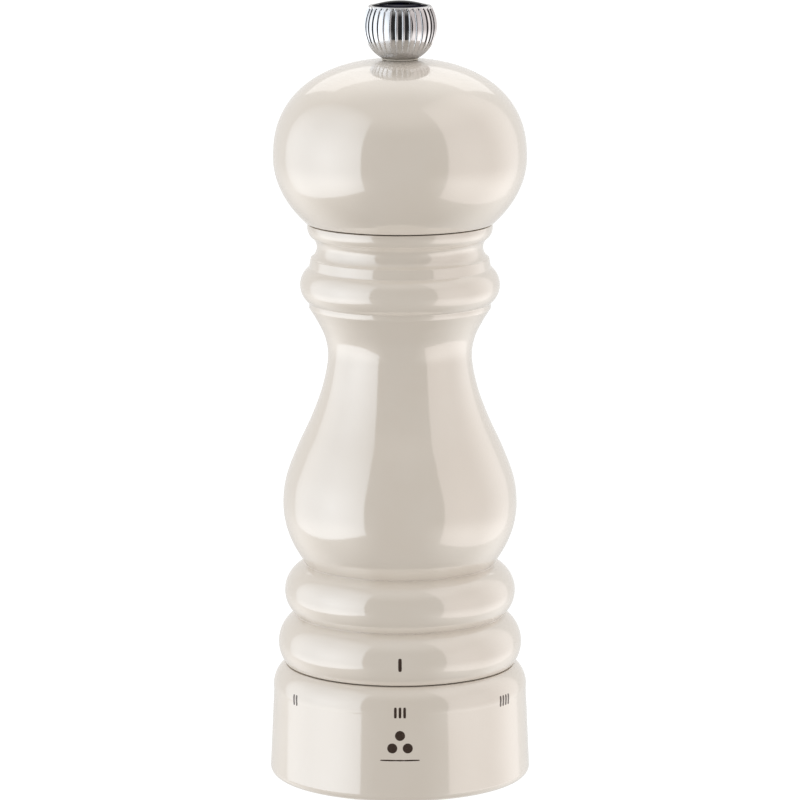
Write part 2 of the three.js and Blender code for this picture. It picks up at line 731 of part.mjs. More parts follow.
// Local heights: 0 at the lower edge of the stator. Its inside follows the rotor at GRIND_GAP, and
// opens into a wide mouth under the chamber.
function statorShape() {
  const flange = flangeBottom - statorBottom;
  const height = flange + FLANGE_THICK;
  const low = rotorFoot + GRIND_GAP + TOOTH_DEPTH;
  const throat = rotorNeck + GRIND_GAP + TOOTH_DEPTH * 0.75;
  const neck = GRIND_HEIGHT - ROTOR_DROP;
  const mouth = statorRadius - STATOR_WALL;
  const outside = turn(new Outline(0, 0)
    .to(statorRadius, 0)
    .to(statorRadius, flange)
    .to(flangeRadius, flange)
    .to(flangeRadius, height)
    .to(0, height), SIDES);
  const hollow = skin([
    ringAt(-OVERCUT, toothed(low + GRIND_GAP / 2, TOOTH_DEPTH, TEETH)),
    ringAt(ROTOR_LAND, toothed(low, TOOTH_DEPTH, TEETH)),
    ringAt(neck - THROAT_LENGTH / 2, toothed(throat, TOOTH_DEPTH / 2, TEETH), FINE, -TOOTH_TWIST),
    ringAt(neck + THROAT_LENGTH / 2, toothed(throat, TOOTH_DEPTH / 2, TEETH), FINE, -TOOTH_TWIST),
    ringAt(neck + MOUTH_RISE, toothed(mouth, TOOTH_DEPTH, TEETH), FINE, -TOOTH_TWIST),
    ringAt(height + OVERCUT, toothed(mouth, TOOTH_DEPTH, TEETH), FINE, -TOOTH_TWIST * 2),
  ]);
  const holes = screwAngles.map((angle) => screwHole(screwCircle, angle, flange, FLANGE_THICK));
  return cut(outside, [hollow, ...holes]);
}

function bridgeShape() {
  const bore = shaftCorner + RUN + BUSH_WALL + FIT;
  const hub = bore + HUB_WALL;
  const rim = tube(CHAMBER_RADIUS - BRIDGE_LIP, flangeRadius, BRIDGE_THICK, SIDES);
  const arms = armAngles.map((angle) =>
    bar(bore, CHAMBER_RADIUS, BRIDGE_ARM, BRIDGE_THICK).rotateZ(angle));
  const blank = join([rim, pin(hub, HUB_HEIGHT, [0, 0, 0], BUSH), ...arms]);
  const holes = screwAngles.map((angle) => screwHole(screwCircle, angle, 0, BRIDGE_THICK));
  return cut(blank, [hole(bore, HUB_HEIGHT), ...holes]);
}

function addBurrs() {
  const group = assembly();
  add(group, "rotor", rotorShape(), HARD_STEEL, rotorBottom);
  add(group, "stator", statorShape(), HARD_STEEL, statorBottom);
  add(group, "bridge", bridgeShape(), STEEL, bridgeBottom);
  const bushBore = shaftCorner + RUN;
  const bush = tube(bushBore, bushBore + BUSH_WALL, HUB_HEIGHT);
  add(group, "bridge_bush", bush, BRASS, bridgeBottom);
  const length = housingTop + SEAT - flangeBottom + SCREW_BITE;
  screwAngles.forEach((angle, i) => {
    const fastener = screw(length).translate(...polar(screwCircle, angle));
    add(group, `mechanism_screw_${i + 1}`, fastener, STEEL, flangeBottom - SEAT);
  });
}

// ---------------------------------------------------------------- housing and adjuster

const lugAngles = around(3, (angle) => angle, -Math.PI / 2);
const slotTop = adjusterBottom + ADJUSTER_THICK + liftToFinest + SLOT_ROOM;
const clickAngle = Math.PI / 2;
const clickMiddle = clickBottom + CLICK_ZONE / 2;

function housingShape() {
  const grooveBottom = circlipBottom - SEAT;
  const grooveTop = circlipBottom + CIRCLIP_THICK + SEAT;
  const groove = skirtRadius - CIRCLIP_GROOVE;
  const outline = new Outline(housingBore, skirtBottom)
    .to(skirtRadius, skirtBottom)
    .to(skirtRadius, grooveBottom)
    .to(groove, grooveBottom)
    .to(groove, grooveTop)
    .to(skirtRadius, grooveTop)
    .to(skirtRadius, bodyBottom + SEAT)
    .to(housingHead, bodyBottom + SEAT)
    .to(housingHead, housingTop)
    .to(CHAMBER_RADIUS + FIT, housingTop)
    .to(CHAMBER_RADIUS + FIT, housingFlange)
    .to(housingBore, housingFlange);
  const block = helix({
    section: [
      [skirtRadius - HOUSING_WALL / 2, stopBottom + RUN],
      [skirtRadius + STOP_DEPTH, stopBottom + RUN],
      [skirtRadius + STOP_DEPTH, clickBottom - RUN],
      [skirtRadius - HOUSING_WALL / 2, clickBottom - RUN],
    ],
    from: rad(-90 - STOP_HALF_ANGLE),
    sweep: rad(2 * STOP_HALF_ANGLE),
    rise: 0,
    steps: 6,
  });
  const slotWidth = LUG_WIDTH + RUN * 2;
  const slots = lugAngles.map((angle) =>
    bar(housingBore - OVERCUT, skirtRadius + OVERCUT, slotWidth, slotTop).rotateZ(angle));
  const holes = screwAngles.map((angle) =>
    screwHole(screwCircle, angle, housingFlange, HOUSING_FLANGE));
  const rivetHole = rivet(RIVET_RADIUS + FIT, skirtRadius - RIVET_BITE - FIT, skirtRadius + OVERCUT);
  rivetHole.translate(0, 0, clickMiddle);
  return cut(join([turn(outline), block]), [...slots, ...holes, rivetHole]);
}

// The insert's thread falls as it runs anticlockwise, so turning the ring anticlockwise, seen
// from above, raises the adjuster. A groove faces the front lug at this height.
const grooveHeight = adjusterBottom + ADJUSTER_THICK / 2;

function insertShape() {
  const root = insertBore + THREAD_DEPTH;
  const outline = new Outline(root, 0)
    .to(insertRadius, 0)
    .to(insertRadius, insertTop - insertBottom)
    .to(clickBore, insertTop - insertBottom)
    .to(clickBore, stopBottom - insertBottom)
    .to(root, stopBottom - insertBottom);
  const ridge = (lead * RIDGE_SHARE) / 2;
  const middle = grooveHeight - insertBottom + lead / 2;
  const crest = insertBore / Math.cos(Math.PI / THREAD_FACETS);
  const thread = helix({
    section: [
      [crest, -ridge * CREST_SHARE],
      [root + THREAD_DEPTH, -ridge],
      [root + THREAD_DEPTH, ridge],
      [crest, ridge * CREST_SHARE],
    ].map(([r, z]) => [r, z + middle + (lead * THREAD_TURNS) / 2]),
    from: -Math.PI / 2 - THREAD_TURNS * Math.PI,
    sweep: THREAD_TURNS * 2 * Math.PI,
    rise: -lead * THREAD_TURNS,
    steps: THREAD_TURNS * THREAD_FACETS,
  });
  // Stop rib, which meets either end of the housing's block at the last settings.
  const blockHalf = STOP_HALF_ANGLE + STOP_SLACK;
  const ribHalf = (360 - (SETTINGS - 1) * STEP_ANGLE) / 2 - blockHalf;
  const toFinest = (REST_SETTING - 1) * STEP_ANGLE;
  const ribMiddle = -90 - toFinest - blockHalf - ribHalf;
  const rib = helix({
    section: [
      [insertBore + SEAT, stopBottom + RUN],
      [clickBore + THREAD_DEPTH, stopBottom + RUN],
      [clickBore + THREAD_DEPTH, clickBottom - RUN],
      [insertBore + SEAT, clickBottom - RUN],
    ].map(([r, z]) => [r, z - insertBottom]),
    from: rad(ribMiddle - ribHalf),
    sweep: rad(2 * ribHalf),
    rise: 0,
    steps: 4,
  });
  // One V notch for each setting.
  const notches = Array.from({ length: SETTINGS }, (_, i) => {
    const angle = clickAngle + rad((i + 1 - REST_SETTING) * STEP_ANGLE);
    const side = CLICK_DEPTH * Math.SQRT2;
    const notch = box(side, side, CLICK_ZONE + OVERCUT, [0, 0, (CLICK_ZONE + OVERCUT) / 2]);
    notch.rotateZ(Math.PI / 4 + angle);
    return notch.translate(...polar(clickBore, angle, clickBottom - insertBottom));
  });
  return cut(join([turn(outline), thread, rib]), notches);
}

function adjusterShape() {
  const rimOuter = housingBore - RUN;
  const rimInner = rimOuter - ADJUSTER_RIM;
  const bore = threadRadius + RUN;
  const lift = hubBottom - adjusterBottom;
  const rim = tube(rimInner, rimOuter, ADJUSTER_THICK, SIDES);
  const hub = pin(ADJUSTER_HUB, hubTop - hubBottom, [0, 0, lift], BUSH);
  const spokes = lugAngles.map((angle) =>
    bar(bore, rimOuter - ADJUSTER_RIM / 2, SPOKE_WIDTH, ADJUSTER_THICK).rotateZ(angle));
  const lugReach = skirtRadius - FIT;
  const lugs = lugAngles.map((angle) =>
    bar(rimOuter - ADJUSTER_RIM / 2, lugReach, LUG_WIDTH, ADJUSTER_THICK).rotateZ(angle));
  // One tooth on each lug, on the groove that passes it.
  const tooth = (lead * (1 - RIDGE_SHARE)) / 2 - THREAD_CLEARANCE;
  const toothReach = insertBore + THREAD_DEPTH - THREAD_CLEARANCE;
  const half = Math.asin(LUG_WIDTH / 2 / skirtRadius);
  const teeth = lugAngles.map((angle) => {
    const turned = (angle + Math.PI / 2) / (2 * Math.PI);
    const height = ADJUSTER_THICK / 2 - lead * (turned > 0.5 ? turned - 1 : turned);
    return helix({
      section: [
        [lugReach - ADJUSTER_RIM / 2, -tooth],
        [toothReach, -tooth * CREST_SHARE],
        [toothReach, tooth * CREST_SHARE],
        [lugReach - ADJUSTER_RIM / 2, tooth],
      ].map(([r, z]) => [r, z + height + (lead * half) / (2 * Math.PI)]),
      from: angle - half,
      sweep: 2 * half,
      rise: (-lead * half) / Math.PI,
      steps: 4,
    });
  });
  const blank = join([rim, hub, ...spokes, ...lugs, ...teeth]);
  return cut(blank, [hole(bore, hubTop - hubBottom).translate(0, 0, lift)]);
}

function addAdjuster() {
  const group = assembly();
  add(group, "mechanism_housing", housingShape(), BLACK_PLASTIC);
  add(group, "adjuster", adjusterShape(), BLACK_PLASTIC, adjusterBottom);
  const washer = tube(shaftCorner + RUN, ADJUSTER_HUB - RUN, THRUST_THICK);
  add(group, "thrust_washer", washer, BRASS, hubTop + SEAT);
}

// ---------------------------------------------------------------- grind ring

function ringShape() {
  const shoulder = ringTop - SHOULDER_HEIGHT;
  return turn(new Outline(ringBore, 0)
    .to(footRadius - FOOT_ROUND, 0)
    .arc(footRadius, FOOT_ROUND, FOOT_ROUND * (1 - Math.SQRT1_2), 4)
    .to(footRadius - RING_TAPER, shoulder)
    .arc(bodyFoot, ringTop, SHOULDER_SWELL, 6)
    .to(insertBore, ringTop)
    .to(insertBore, insertTop + SEAT)
    .to(ringBore, insertTop + SEAT));
}

function circlipShape() {
  const inner = skirtRadius - CIRCLIP_GROOVE + FIT;
  const clip = tube(inner, inner + CIRCLIP_WIDTH, CIRCLIP_THICK, SIDES);
  const gap = bar(inner - OVERCUT, inner + CIRCLIP_WIDTH + OVERCUT, CIRCLIP_MOUTH, CIRCLIP_THICK * 3);
  return cut(clip, [gap.translate(0, 0, -CIRCLIP_THICK).rotateZ(Math.PI / 2)]);
}

// A leaf of spring steel bent to the skirt, with a nose that drops into a notch. It is drawn as
// an outline seen from above and given its height.
function clickSpringShape() {
  const rest = skirtRadius + RUN;
  const tip = clickBore + CLICK_DEPTH / 2 - LEAF;
  const radiusAt = (degrees) => {
    const share = Math.max(0, 1 - Math.abs(degrees) / NOSE_HALF_ANGLE);
    return rest + (tip - rest) * share;
  };
  const steps = 3;
  const side = Array.from({ length: steps + 1 }, (_, i) =>
    NOSE_HALF_ANGLE + ((LEAF_HALF_ANGLE - NOSE_HALF_ANGLE) * i) / steps);
  const angles = [...side.toReversed().map((angle) => -angle), -NOSE_FLAT, NOSE_FLAT, ...side];
  const point = (degrees, more) => {
    const angle = clickAngle + rad(degrees);
    const radius = radiusAt(degrees) + more;
    return new THREE.Vector2(radius * Math.cos(angle), radius * Math.sin(angle));
  };
  const outline = [
    ...angles.map((degrees) => point(degrees, LEAF)),
    ...angles.toReversed().map((degrees) => point(degrees, 0)),
  ];
  const height = CLICK_ZONE - 4 * RUN;
  const leaf = new THREE.ExtrudeGeometry(new THREE.Shape(outline), {
    depth: height,
    bevelEnabled: false,
  });
  const eye = rivet(RIVET_RADIUS + FIT, skirtRadius - OVERCUT, clickBore);
  return cut(leaf, [eye.translate(0, 0, height / 2)]);
}

// A round pin that runs straight out of the skirt between two radii, at height 0, through the
// click spring's fixed end.
function rivet(radius, from, to) {
  const shaft = pin(radius, to - from, [0, 0, from]);
  return shaft.rotateY(Math.PI / 2).rotateZ(clickAngle - rad(LEAF_HALF_ANGLE - RIVET_ANGLE));
}

function addRing() {
  const group = assembly();
  add(group, "grind_ring", ringShape(), IVORY);
  add(group, "ring_insert", insertShape(), BLACK_PLASTIC, insertBottom);
  add(group, "retaining_circlip", circlipShape(), STEEL, circlipBottom);
  add(group, "click_spring", clickSpringShape(), STEEL, clickBottom + 2 * RUN);
  const fixing = rivet(RIVET_RADIUS, skirtRadius - RIVET_BITE, clickBore - RUN);
  add(group, "click_spring_rivet", fixing, BRASS, clickMiddle);
}

addBody();
addHead();
addKnob();
addShaft();
addBurrs();
addAdjuster();
addRing();

export default mill;
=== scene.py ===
"""A turned pepper mill in glossy ivory lacquer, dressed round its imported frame.

Outlines and sizes are in millimetres, with +Z up the mill's axis and -Y towards its front. Heights and
outer radii come from the frame's own nodes. skin() turns millimetres into metres when it makes a mesh.
A class's size that is named after a place, such as foot, neck or bore, is the radius there. One that ends
in low, high, top or height is a height, and one that ends in swell is how far an arc stands out.
"""

import logging
import math
from dataclasses import dataclass, field
from enum import Enum
from typing import ClassVar, Sequence

import bmesh
import bpy
import numpy as np
from mathutils import Matrix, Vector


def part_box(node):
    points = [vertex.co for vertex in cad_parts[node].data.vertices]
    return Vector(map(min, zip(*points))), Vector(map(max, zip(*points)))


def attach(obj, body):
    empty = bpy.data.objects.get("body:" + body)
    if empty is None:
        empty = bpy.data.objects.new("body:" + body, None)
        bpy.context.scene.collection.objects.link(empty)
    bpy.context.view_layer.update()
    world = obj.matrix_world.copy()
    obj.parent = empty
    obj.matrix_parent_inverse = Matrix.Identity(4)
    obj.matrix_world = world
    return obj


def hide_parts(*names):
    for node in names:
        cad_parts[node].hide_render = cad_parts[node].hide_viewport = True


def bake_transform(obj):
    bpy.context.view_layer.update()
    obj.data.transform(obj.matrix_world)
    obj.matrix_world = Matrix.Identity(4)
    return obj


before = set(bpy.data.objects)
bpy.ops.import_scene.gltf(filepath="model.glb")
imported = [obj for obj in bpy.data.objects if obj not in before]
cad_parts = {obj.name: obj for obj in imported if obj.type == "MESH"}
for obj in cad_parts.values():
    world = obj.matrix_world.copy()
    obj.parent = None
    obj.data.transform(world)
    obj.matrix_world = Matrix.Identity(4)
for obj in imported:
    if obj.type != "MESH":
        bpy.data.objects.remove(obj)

logging.basicConfig(level=logging.INFO, format="%(message)s")
log = logging.getLogger("pepper_mill")

Array = np.ndarray
Color = tuple[float, float, float]
MM = 0.001
TAU = 2 * math.pi
FRONT = -math.pi / 2
WELD = 1e-8
NEAR = 1e-6
TINY = 1e-9
UP = (0.0, 0.0, 1.0)
CRISP = math.radians(32)
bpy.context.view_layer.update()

# How far an edge is rounded in mm, and the most of an edge that one rounded corner takes.
FINE = 0.1
SOFT = 0.2
BROAD = 0.3
EDGE_SHARE = 0.45

# How far a cutting tool reaches past its piece, in mm.
PAST = 1.0

# The grind ring's settings: degrees and rise of one step, and the rise of a whole turn in mm.
STEP_TURN = 55.0
STEP_RISE = 0.3
LEAD = STEP_RISE * 360 / STEP_TURN


# ---------------------------------------------------------------- outlines

def smooth(low: float, high: float, value: Array) -> Array:
    """Rises from 0 at low to 1 at high along 3t^2 - 2t^3."""
    t = np.clip((value - low) / (high - low), 0, 1)
    return t * t * (3 - 2 * t)


def direction(angles: Array) -> Array:
    """Unit vectors that point out from the axis at these angles."""
    return np.stack([np.cos(angles), np.sin(angles), np.zeros_like(angles)], axis=-1)


def around(sides: int) -> Array:
    """Even angles round one whole turn."""
    return np.arange(sides) * TAU / sides


def spot(radius: float, degrees: float) -> tuple[float, float]:
    """Where a point stands that is this far from the axis, at this angle."""
    return tuple(radius * direction(np.array(math.radians(degrees)))[:2])


def winding(heights: Array, pitch: float, angles: Array) -> Array:
    """How far each point is through its turn of a thread: height over pitch less the share of a turn."""
    return (heights / pitch - angles / TAU) % 1


def square_radius(side: float, corner: float, angles: Array) -> Array:
    """A square's radius: half its side over the larger of |cos a| and |sin a|, cut at its corner's."""
    flats = side / 2 / np.maximum(np.abs(np.cos(angles)), np.abs(np.sin(angles)))
    return np.minimum(flats, corner)


@dataclass(frozen=True)
class Room:
    """The room that a CAD node takes: its lowest and highest point and its outer radius, in mm."""

    low: float
    high: float
    radius: float

    @classmethod
    def of(cls, node: str) -> "Room":
        """Measures one node of the frame."""
        low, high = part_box(node)
        return cls(low.z / MM, high.z / MM, max(high.x, high.y) / MM)


class Outline:
    """A half outline in the (radius, height) plane, drawn up its outside and down its inside."""

    def __init__(self, radius: float, height: float, ease: float = 0.0, bare: float = 0.0) -> None:
        """Starts the outline.

        Args:
            radius: distance of the first point from the axis.
            height: its height.
            ease: how far along its edges the corner is rounded.
            bare: 1 where the surface is left unpainted.
        """
        self.points = [np.array([[radius, height]], float)]
        self.eases = [np.array([ease], float)]
        self.bares = [np.array([bare], float)]
        self.bare = bare

    def add(self, points: Array, ease: float) -> "Outline":
        """Adds points, of which only the last is a corner that may be rounded."""
        eases = np.zeros(len(points))
        eases[-1] = ease
        self.points.append(points)
        self.eases.append(eases)
        self.bares.append(np.full(len(points), self.bare))
        return self

    def to(self, radius: float, height: float, ease: float = 0.0, steps: int = 1) -> "Outline":
        """Draws a straight line, in equal steps."""
        share = np.arange(1, steps + 1)[:, None] / steps
        start = self.points[-1][-1]
        return self.add(start + (np.array([radius, height]) - start) * share, ease)

    def arc(self, radius: float, height: float, swell: float, ease: float = 0.0,
            steps: int = 24) -> "Outline":
        """Draws a circular arc.

        The arc passes swell outside the middle of its chord, so its radius is
        (half^2 + swell^2) / (2 swell), where half is half the chord's length.

        Args:
            radius: where it ends.
            height: where it ends.
            swell: how far it stands out, or in where negative.
            ease: rounding of the corner at its end.
            steps: points on the arc.

        Returns:
            The outline itself.
        """
        start = self.points[-1][-1]
        end = np.array([radius, height], float)
        chord = end - start
        half = math.hypot(*chord) / 2
        bend = (half * half + swell * swell) / (2 * swell)
        out = np.array([chord[1], -chord[0]]) / (2 * half)
        centre = (start + end) / 2 - out * (bend - swell)
        spoke = start - centre
        turned = 2 * math.asin(half / bend) * np.arange(1, steps + 1)[:, None] / steps
        square = np.array([-spoke[1], spoke[0]])
        return self.add(centre + spoke * np.cos(turned) + square * np.sin(turned), ease)

    def curve(self, through: Sequence[tuple[float, float]], steps: int, ease: float = 0.0) -> "Outline":
        """Draws a Catmull-Rom curve: a cubic between each two points, with slopes from their neighbours."""
        knots = np.vstack([self.points[-1][-1:], through])
        place = np.arange(1, steps + 1) / steps * (len(knots) - 1)
        first = np.minimum(place.astype(int), len(knots) - 2)
        t = (place - first)[:, None]
        p0, p1, p2, p3 = (knots[np.clip(first + shift, 0, len(knots) - 1)] for shift in (-1, 0, 1, 2))
        v0 = (p2 - p0) / 2
        v1 = (p3 - p1) / 2
        cubic = (2 * p1 - 2 * p2 + v0 + v1) * t**3 + (3 * p2 - 3 * p1 - 2 * v0 - v1) * t**2
        return self.add(cubic + v0 * t + p1, ease)

    def painted(self) -> "Outline":
        """From here on the surface is painted."""
        self.bare = 0.0
        return self

    def inside(self) -> "Outline":
        """From here on the surface is bare."""
        self.bare = 1.0
        return self

    def rows(self, steps: int = 4) -> tuple[Array, Array]:
        """Rounds the corners and gives the finished outline.

        A corner B becomes (1-t)^2 A + 2t(1-t) B + t^2 C, where A and C lie on its two edges at the ease's
        distance, or at 45% of an edge that is too short for it.

        Args:
            steps: parts of each rounded corner.

        Returns:
            Points as (radius, height), and how bare each one is.
        """
        points = np.vstack(self.points)
        ease = np.concatenate(self.eases)
        bare = np.concatenate(self.bares)
        back = np.roll(points, 1, axis=0) - points
        ahead = np.roll(points, -1, axis=0) - points
        ends = []
        for edge in (back, ahead):
            length = np.maximum(np.linalg.norm(edge, axis=1), TINY)
            ends.append(points + edge * (np.minimum(ease, EDGE_SHARE * length) / length)[:, None])
        a, c = ends
        t = np.linspace(0, 1, steps + 1)[None, :, None]
        bends = (1 - t) ** 2 * a[:, None] + 2 * t * (1 - t) * points[:, None] + t**2 * c[:, None]
        flat = bends.reshape(-1, 2)
        keep = np.linalg.norm(flat - np.roll(flat, 1, axis=0), axis=1) > NEAR
        keep[0] = True
        return flat[keep], np.repeat(bare, steps + 1)[keep]

    def radius_at(self, heights: Array) -> Array:
        """Radius of the painted outside at these heights."""
        points, bare = self.rows()
        outside = points[bare == 0]
        return np.interp(heights, outside[:, 1], outside[:, 0])


# ---------------------------------------------------------------- meshes

def skin(name: str, grids: Sequence[Array], ring: bool = True, loop: bool = False,
         bare: Array | None = None) -> bpy.types.Object:
    """Makes one closed mesh from grids of points.

    Point (i, j) of a grid joins (i + 1, j) and (i, j + 1). Points that lie on each other are welded, so a
    row on one point closes as a pole, and the faces are then turned outwards.

    Args:
        name: the piece's name.
        grids: arrays of rows, columns and xyz in mm.
        ring: the last column joins the first.
        loop: the last row joins the first.
        bare: for each row, how bare it is. It is kept as the attribute of that name.

    Returns:
        The new object, at the origin.
    """
    quads = []
    count = 0
    for grid in grids:
        index = count + np.arange(grid.shape[0] * grid.shape[1]).reshape(grid.shape[:2])
        count += index.size
        if ring:
            index = np.concatenate([index, index[:, :1]], axis=1)
        if loop:
            index = np.concatenate([index, index[:1]], axis=0)
        corners = [index[:-1, :-1], index[:-1, 1:], index[1:, 1:], index[1:, :-1]]
        quads.append(np.stack(corners, axis=-1).reshape(-1, 4))
    faces = np.concatenate(quads)
    points = np.concatenate([grid.reshape(-1, 3) for grid in grids]) * MM
    mesh = bpy.data.meshes.new(name)
    mesh.vertices.add(len(points))
    mesh.vertices.foreach_set("co", points.ravel())
    mesh.loops.add(faces.size)
    mesh.loops.foreach_set("vertex_index", faces.ravel())
    mesh.polygons.add(len(faces))
    mesh.polygons.foreach_set("loop_start", np.arange(0, faces.size, 4))
    mesh.update(calc_edges=True)
    if bare is not None:
        layer = mesh.attributes.new("bare", "FLOAT", "POINT")
        layer.data.foreach_set("value", np.repeat(bare, grids[0].shape[1]))
    piece = bpy.data.objects.new(name, mesh)
    bpy.context.scene.collection.objects.link(piece)
    weld(mesh)
    return piece


def weld(mesh: bpy.types.Mesh) -> None:
    """Merges doubled points, turns the faces outwards and smooths all but the crisp edges."""
    work = bmesh.new()
    work.from_mesh(mesh)
    bmesh.ops.remove_doubles(work, verts=work.verts, dist=WELD)
    bmesh.ops.dissolve_degenerate(work, edges=work.edges, dist=WELD)
    bmesh.ops.recalc_face_normals(work, faces=work.faces)
    work.to_mesh(mesh)
    work.free()
    mesh.shade_smooth()
    mesh.set_sharp_from_angle(angle=CRISP)


def lathe(name: str, outline: Outline, sides: int = 128) -> bpy.types.Object:
    """Turns an outline about Z: x = r cos a, y = r sin a, z = h.

    Args:
        name: the piece's name.
        outline: closed on itself, or with both its ends on the axis.
        sides: columns round the axis.

    Returns:
        The new object.
    """
    points, bare = outline.rows()
    grid = turned(points, np.zeros((len(points), sides)), around(sides))
    on_axis = points[0, 0] < NEAR and points[-1, 0] < NEAR
    return skin(name, [grid], loop=not on_axis, bare=bare)


def turned(points: Array, relief: Array, angles: Array) -> Array:
    """A grid of outline points about Z, with relief added to each radius: (r + relief) at angle a."""
    radius = points[:, :1] + relief
    grid = radius[..., None] * direction(angles)
    grid[..., 2] += points[:, 1:]
    return grid


def wall(radius: Array, heights: Array, angles: Array) -> Array:
    """A grid about Z from a radius for each row and angle, and a height for each row."""
    return turned(np.hstack([np.zeros_like(heights), heights]), radius, angles)


def ring(inner: float, outer: float, low: float, high: float, ease: float) -> Outline:
    """The outline of a plain washer or tube with rounded edges."""
    return Outline(inner, low, ease).to(outer, low, ease).to(outer, high, ease).to(inner, high, ease)


def carry(centres: Array, outward: Array, upward: Array, section: Array) -> Array:
    """Carries a section along a path: centre + outward * u + upward * v, closed by a pole at each end.

    Args:
        centres: points of the path, as rows of xyz.
        outward: the section's first direction at each point.
        upward: its second direction at each point.
        section: closed outline as rows of (u, v).

    Returns:
        A grid for skin().
    """
    grid = centres[:, None] + outward[:, None] * section[:, :1] + upward[:, None] * section[:, 1:]
    first = np.repeat(centres[:1, None], len(section), axis=1)
    last = np.repeat(centres[-1:, None], len(section), axis=1)
    return np.concatenate([first, grid, last])


def plate(width: float, height: float, ease: float) -> Array:
    """A rounded rectangle about (0, 0), as a section for carry()."""
    half, top = width / 2, height / 2
    corners = Outline(-half, -top, ease).to(half, -top, ease).to(half, top, ease).to(-half, top, ease)
    return corners.rows(3)[0]


def disc(radius: float, sides: int) -> Array:
    """A circle about (0, 0), as a section for carry()."""
    return radius * direction(around(sides))[:, :2]


def beam(start: float, end: float, width: float, low: float, high: float, angle: float,
         ease: float = SOFT) -> Array:
    """A bar that runs straight out between two radii at an angle, as a grid for skin()."""
    out, side = direction(np.array([angle, angle + math.pi / 2]))
    centres = np.outer([start, end], out) + np.array([0, 0, (low + high) / 2])
    return carry(centres, np.array([side] * 2), np.array([UP] * 2), plate(width, high - low, ease))


def strip(radii: Array | float, angles: Array, heights: Array | float, width: float, height: float,
          ease: float) -> Array:
    """A strip that runs round Z: a rounded rectangle carried along (r cos a, r sin a, z), for skin()."""
    outward = direction(angles)
    centres = np.broadcast_to(radii, angles.shape)[:, None] * outward
    centres[:, 2] = heights
    return carry(centres, outward, np.tile(UP, (len(angles), 1)), plate(width, height, ease))


def rod(radius: float, low: float, high: float, at: tuple[float, float] = (0, 0),
        sides: int = 32) -> Array:
    """An upright round bar, as a grid for skin()."""
    centres = np.array([[*at, low], [*at, high]], float)
    across, along = (np.array([axis] * 2) for axis in ((1.0, 0.0, 0.0), (0.0, 1.0, 0.0)))
    return carry(centres, across, along, disc(radius, sides))


def combine(piece: bpy.types.Object, grids: Sequence[Array], operation: str,
            bevel: float = 0.0) -> bpy.types.Object:
    """Joins simple closed grids to a piece or cuts them from it, and rounds the new edges.

    Args:
        piece: the object to change.
        grids: one closed grid for each tool.
        operation: UNION or DIFFERENCE.
        bevel: width of the rounded edges, or 0 for none.

    Returns:
        The same object with its new mesh.
    """
    tools = [skin("tool", [grid]) for grid in grids]
    for tool in tools:
        step = piece.modifiers.new("combine", "BOOLEAN")
        step.operation = operation
        step.solver = "EXACT"
        step.object = tool
    if bevel:
        edge = piece.modifiers.new("edges", "BEVEL")
        edge.width = bevel * MM
        edge.segments = 2
        edge.limit_method = "ANGLE"
        edge.angle_limit = math.radians(50)
    ready = piece.evaluated_get(bpy.context.evaluated_depsgraph_get())
    made = bpy.data.meshes.new_from_object(ready)
    piece.modifiers.clear()
    piece.data = made
    made.name = piece.name
    for tool in tools:
        bpy.data.objects.remove(tool)
    weld(made)
    return piece


# ---------------------------------------------------------------- shader writing

class Term:
    """A shader value in an expression. Each operator adds one Math node."""

    def __init__(self, bench: "Bench", socket: bpy.types.NodeSocket) -> None:
        """Wraps an output socket of a bench's material."""
        self.bench = bench
        self.socket = socket

    def math(self, operation: str, *values: "Term | float") -> "Term":
        """Adds a Math node for an operation on these values."""
        inputs = dict(enumerate(values))
        return self.bench.term("ShaderNodeMath", {"operation": operation}, inputs)

    def __add__(self, other: "Term | float") -> "Term":
        """self + other."""
        return self.math("ADD", self, other)

    __radd__ = __add__

    def __sub__(self, other: "Term | float") -> "Term":
        """self - other."""
        return self.math("SUBTRACT", self, other)

    def __rsub__(self, other: "Term | float") -> "Term":
        """other - self."""
        return self.math("SUBTRACT", other, self)

    def __mul__(self, other: "Term | float") -> "Term":
        """self * other."""
        return self.math("MULTIPLY", self, other)

    __rmul__ = __mul__

    def __pow__(self, power: "Term | float") -> "Term":
        """self ** power."""
        return self.math("POWER", self, power)

    def band(self, low: float, high: float) -> "Term":
        """Rises smoothly from 0 at low to 1 at high."""
        settings = {"interpolation_type": "SMOOTHSTEP"}
        return self.bench.term("ShaderNodeMapRange", settings, {"Value": self, 1: low, 2: high})


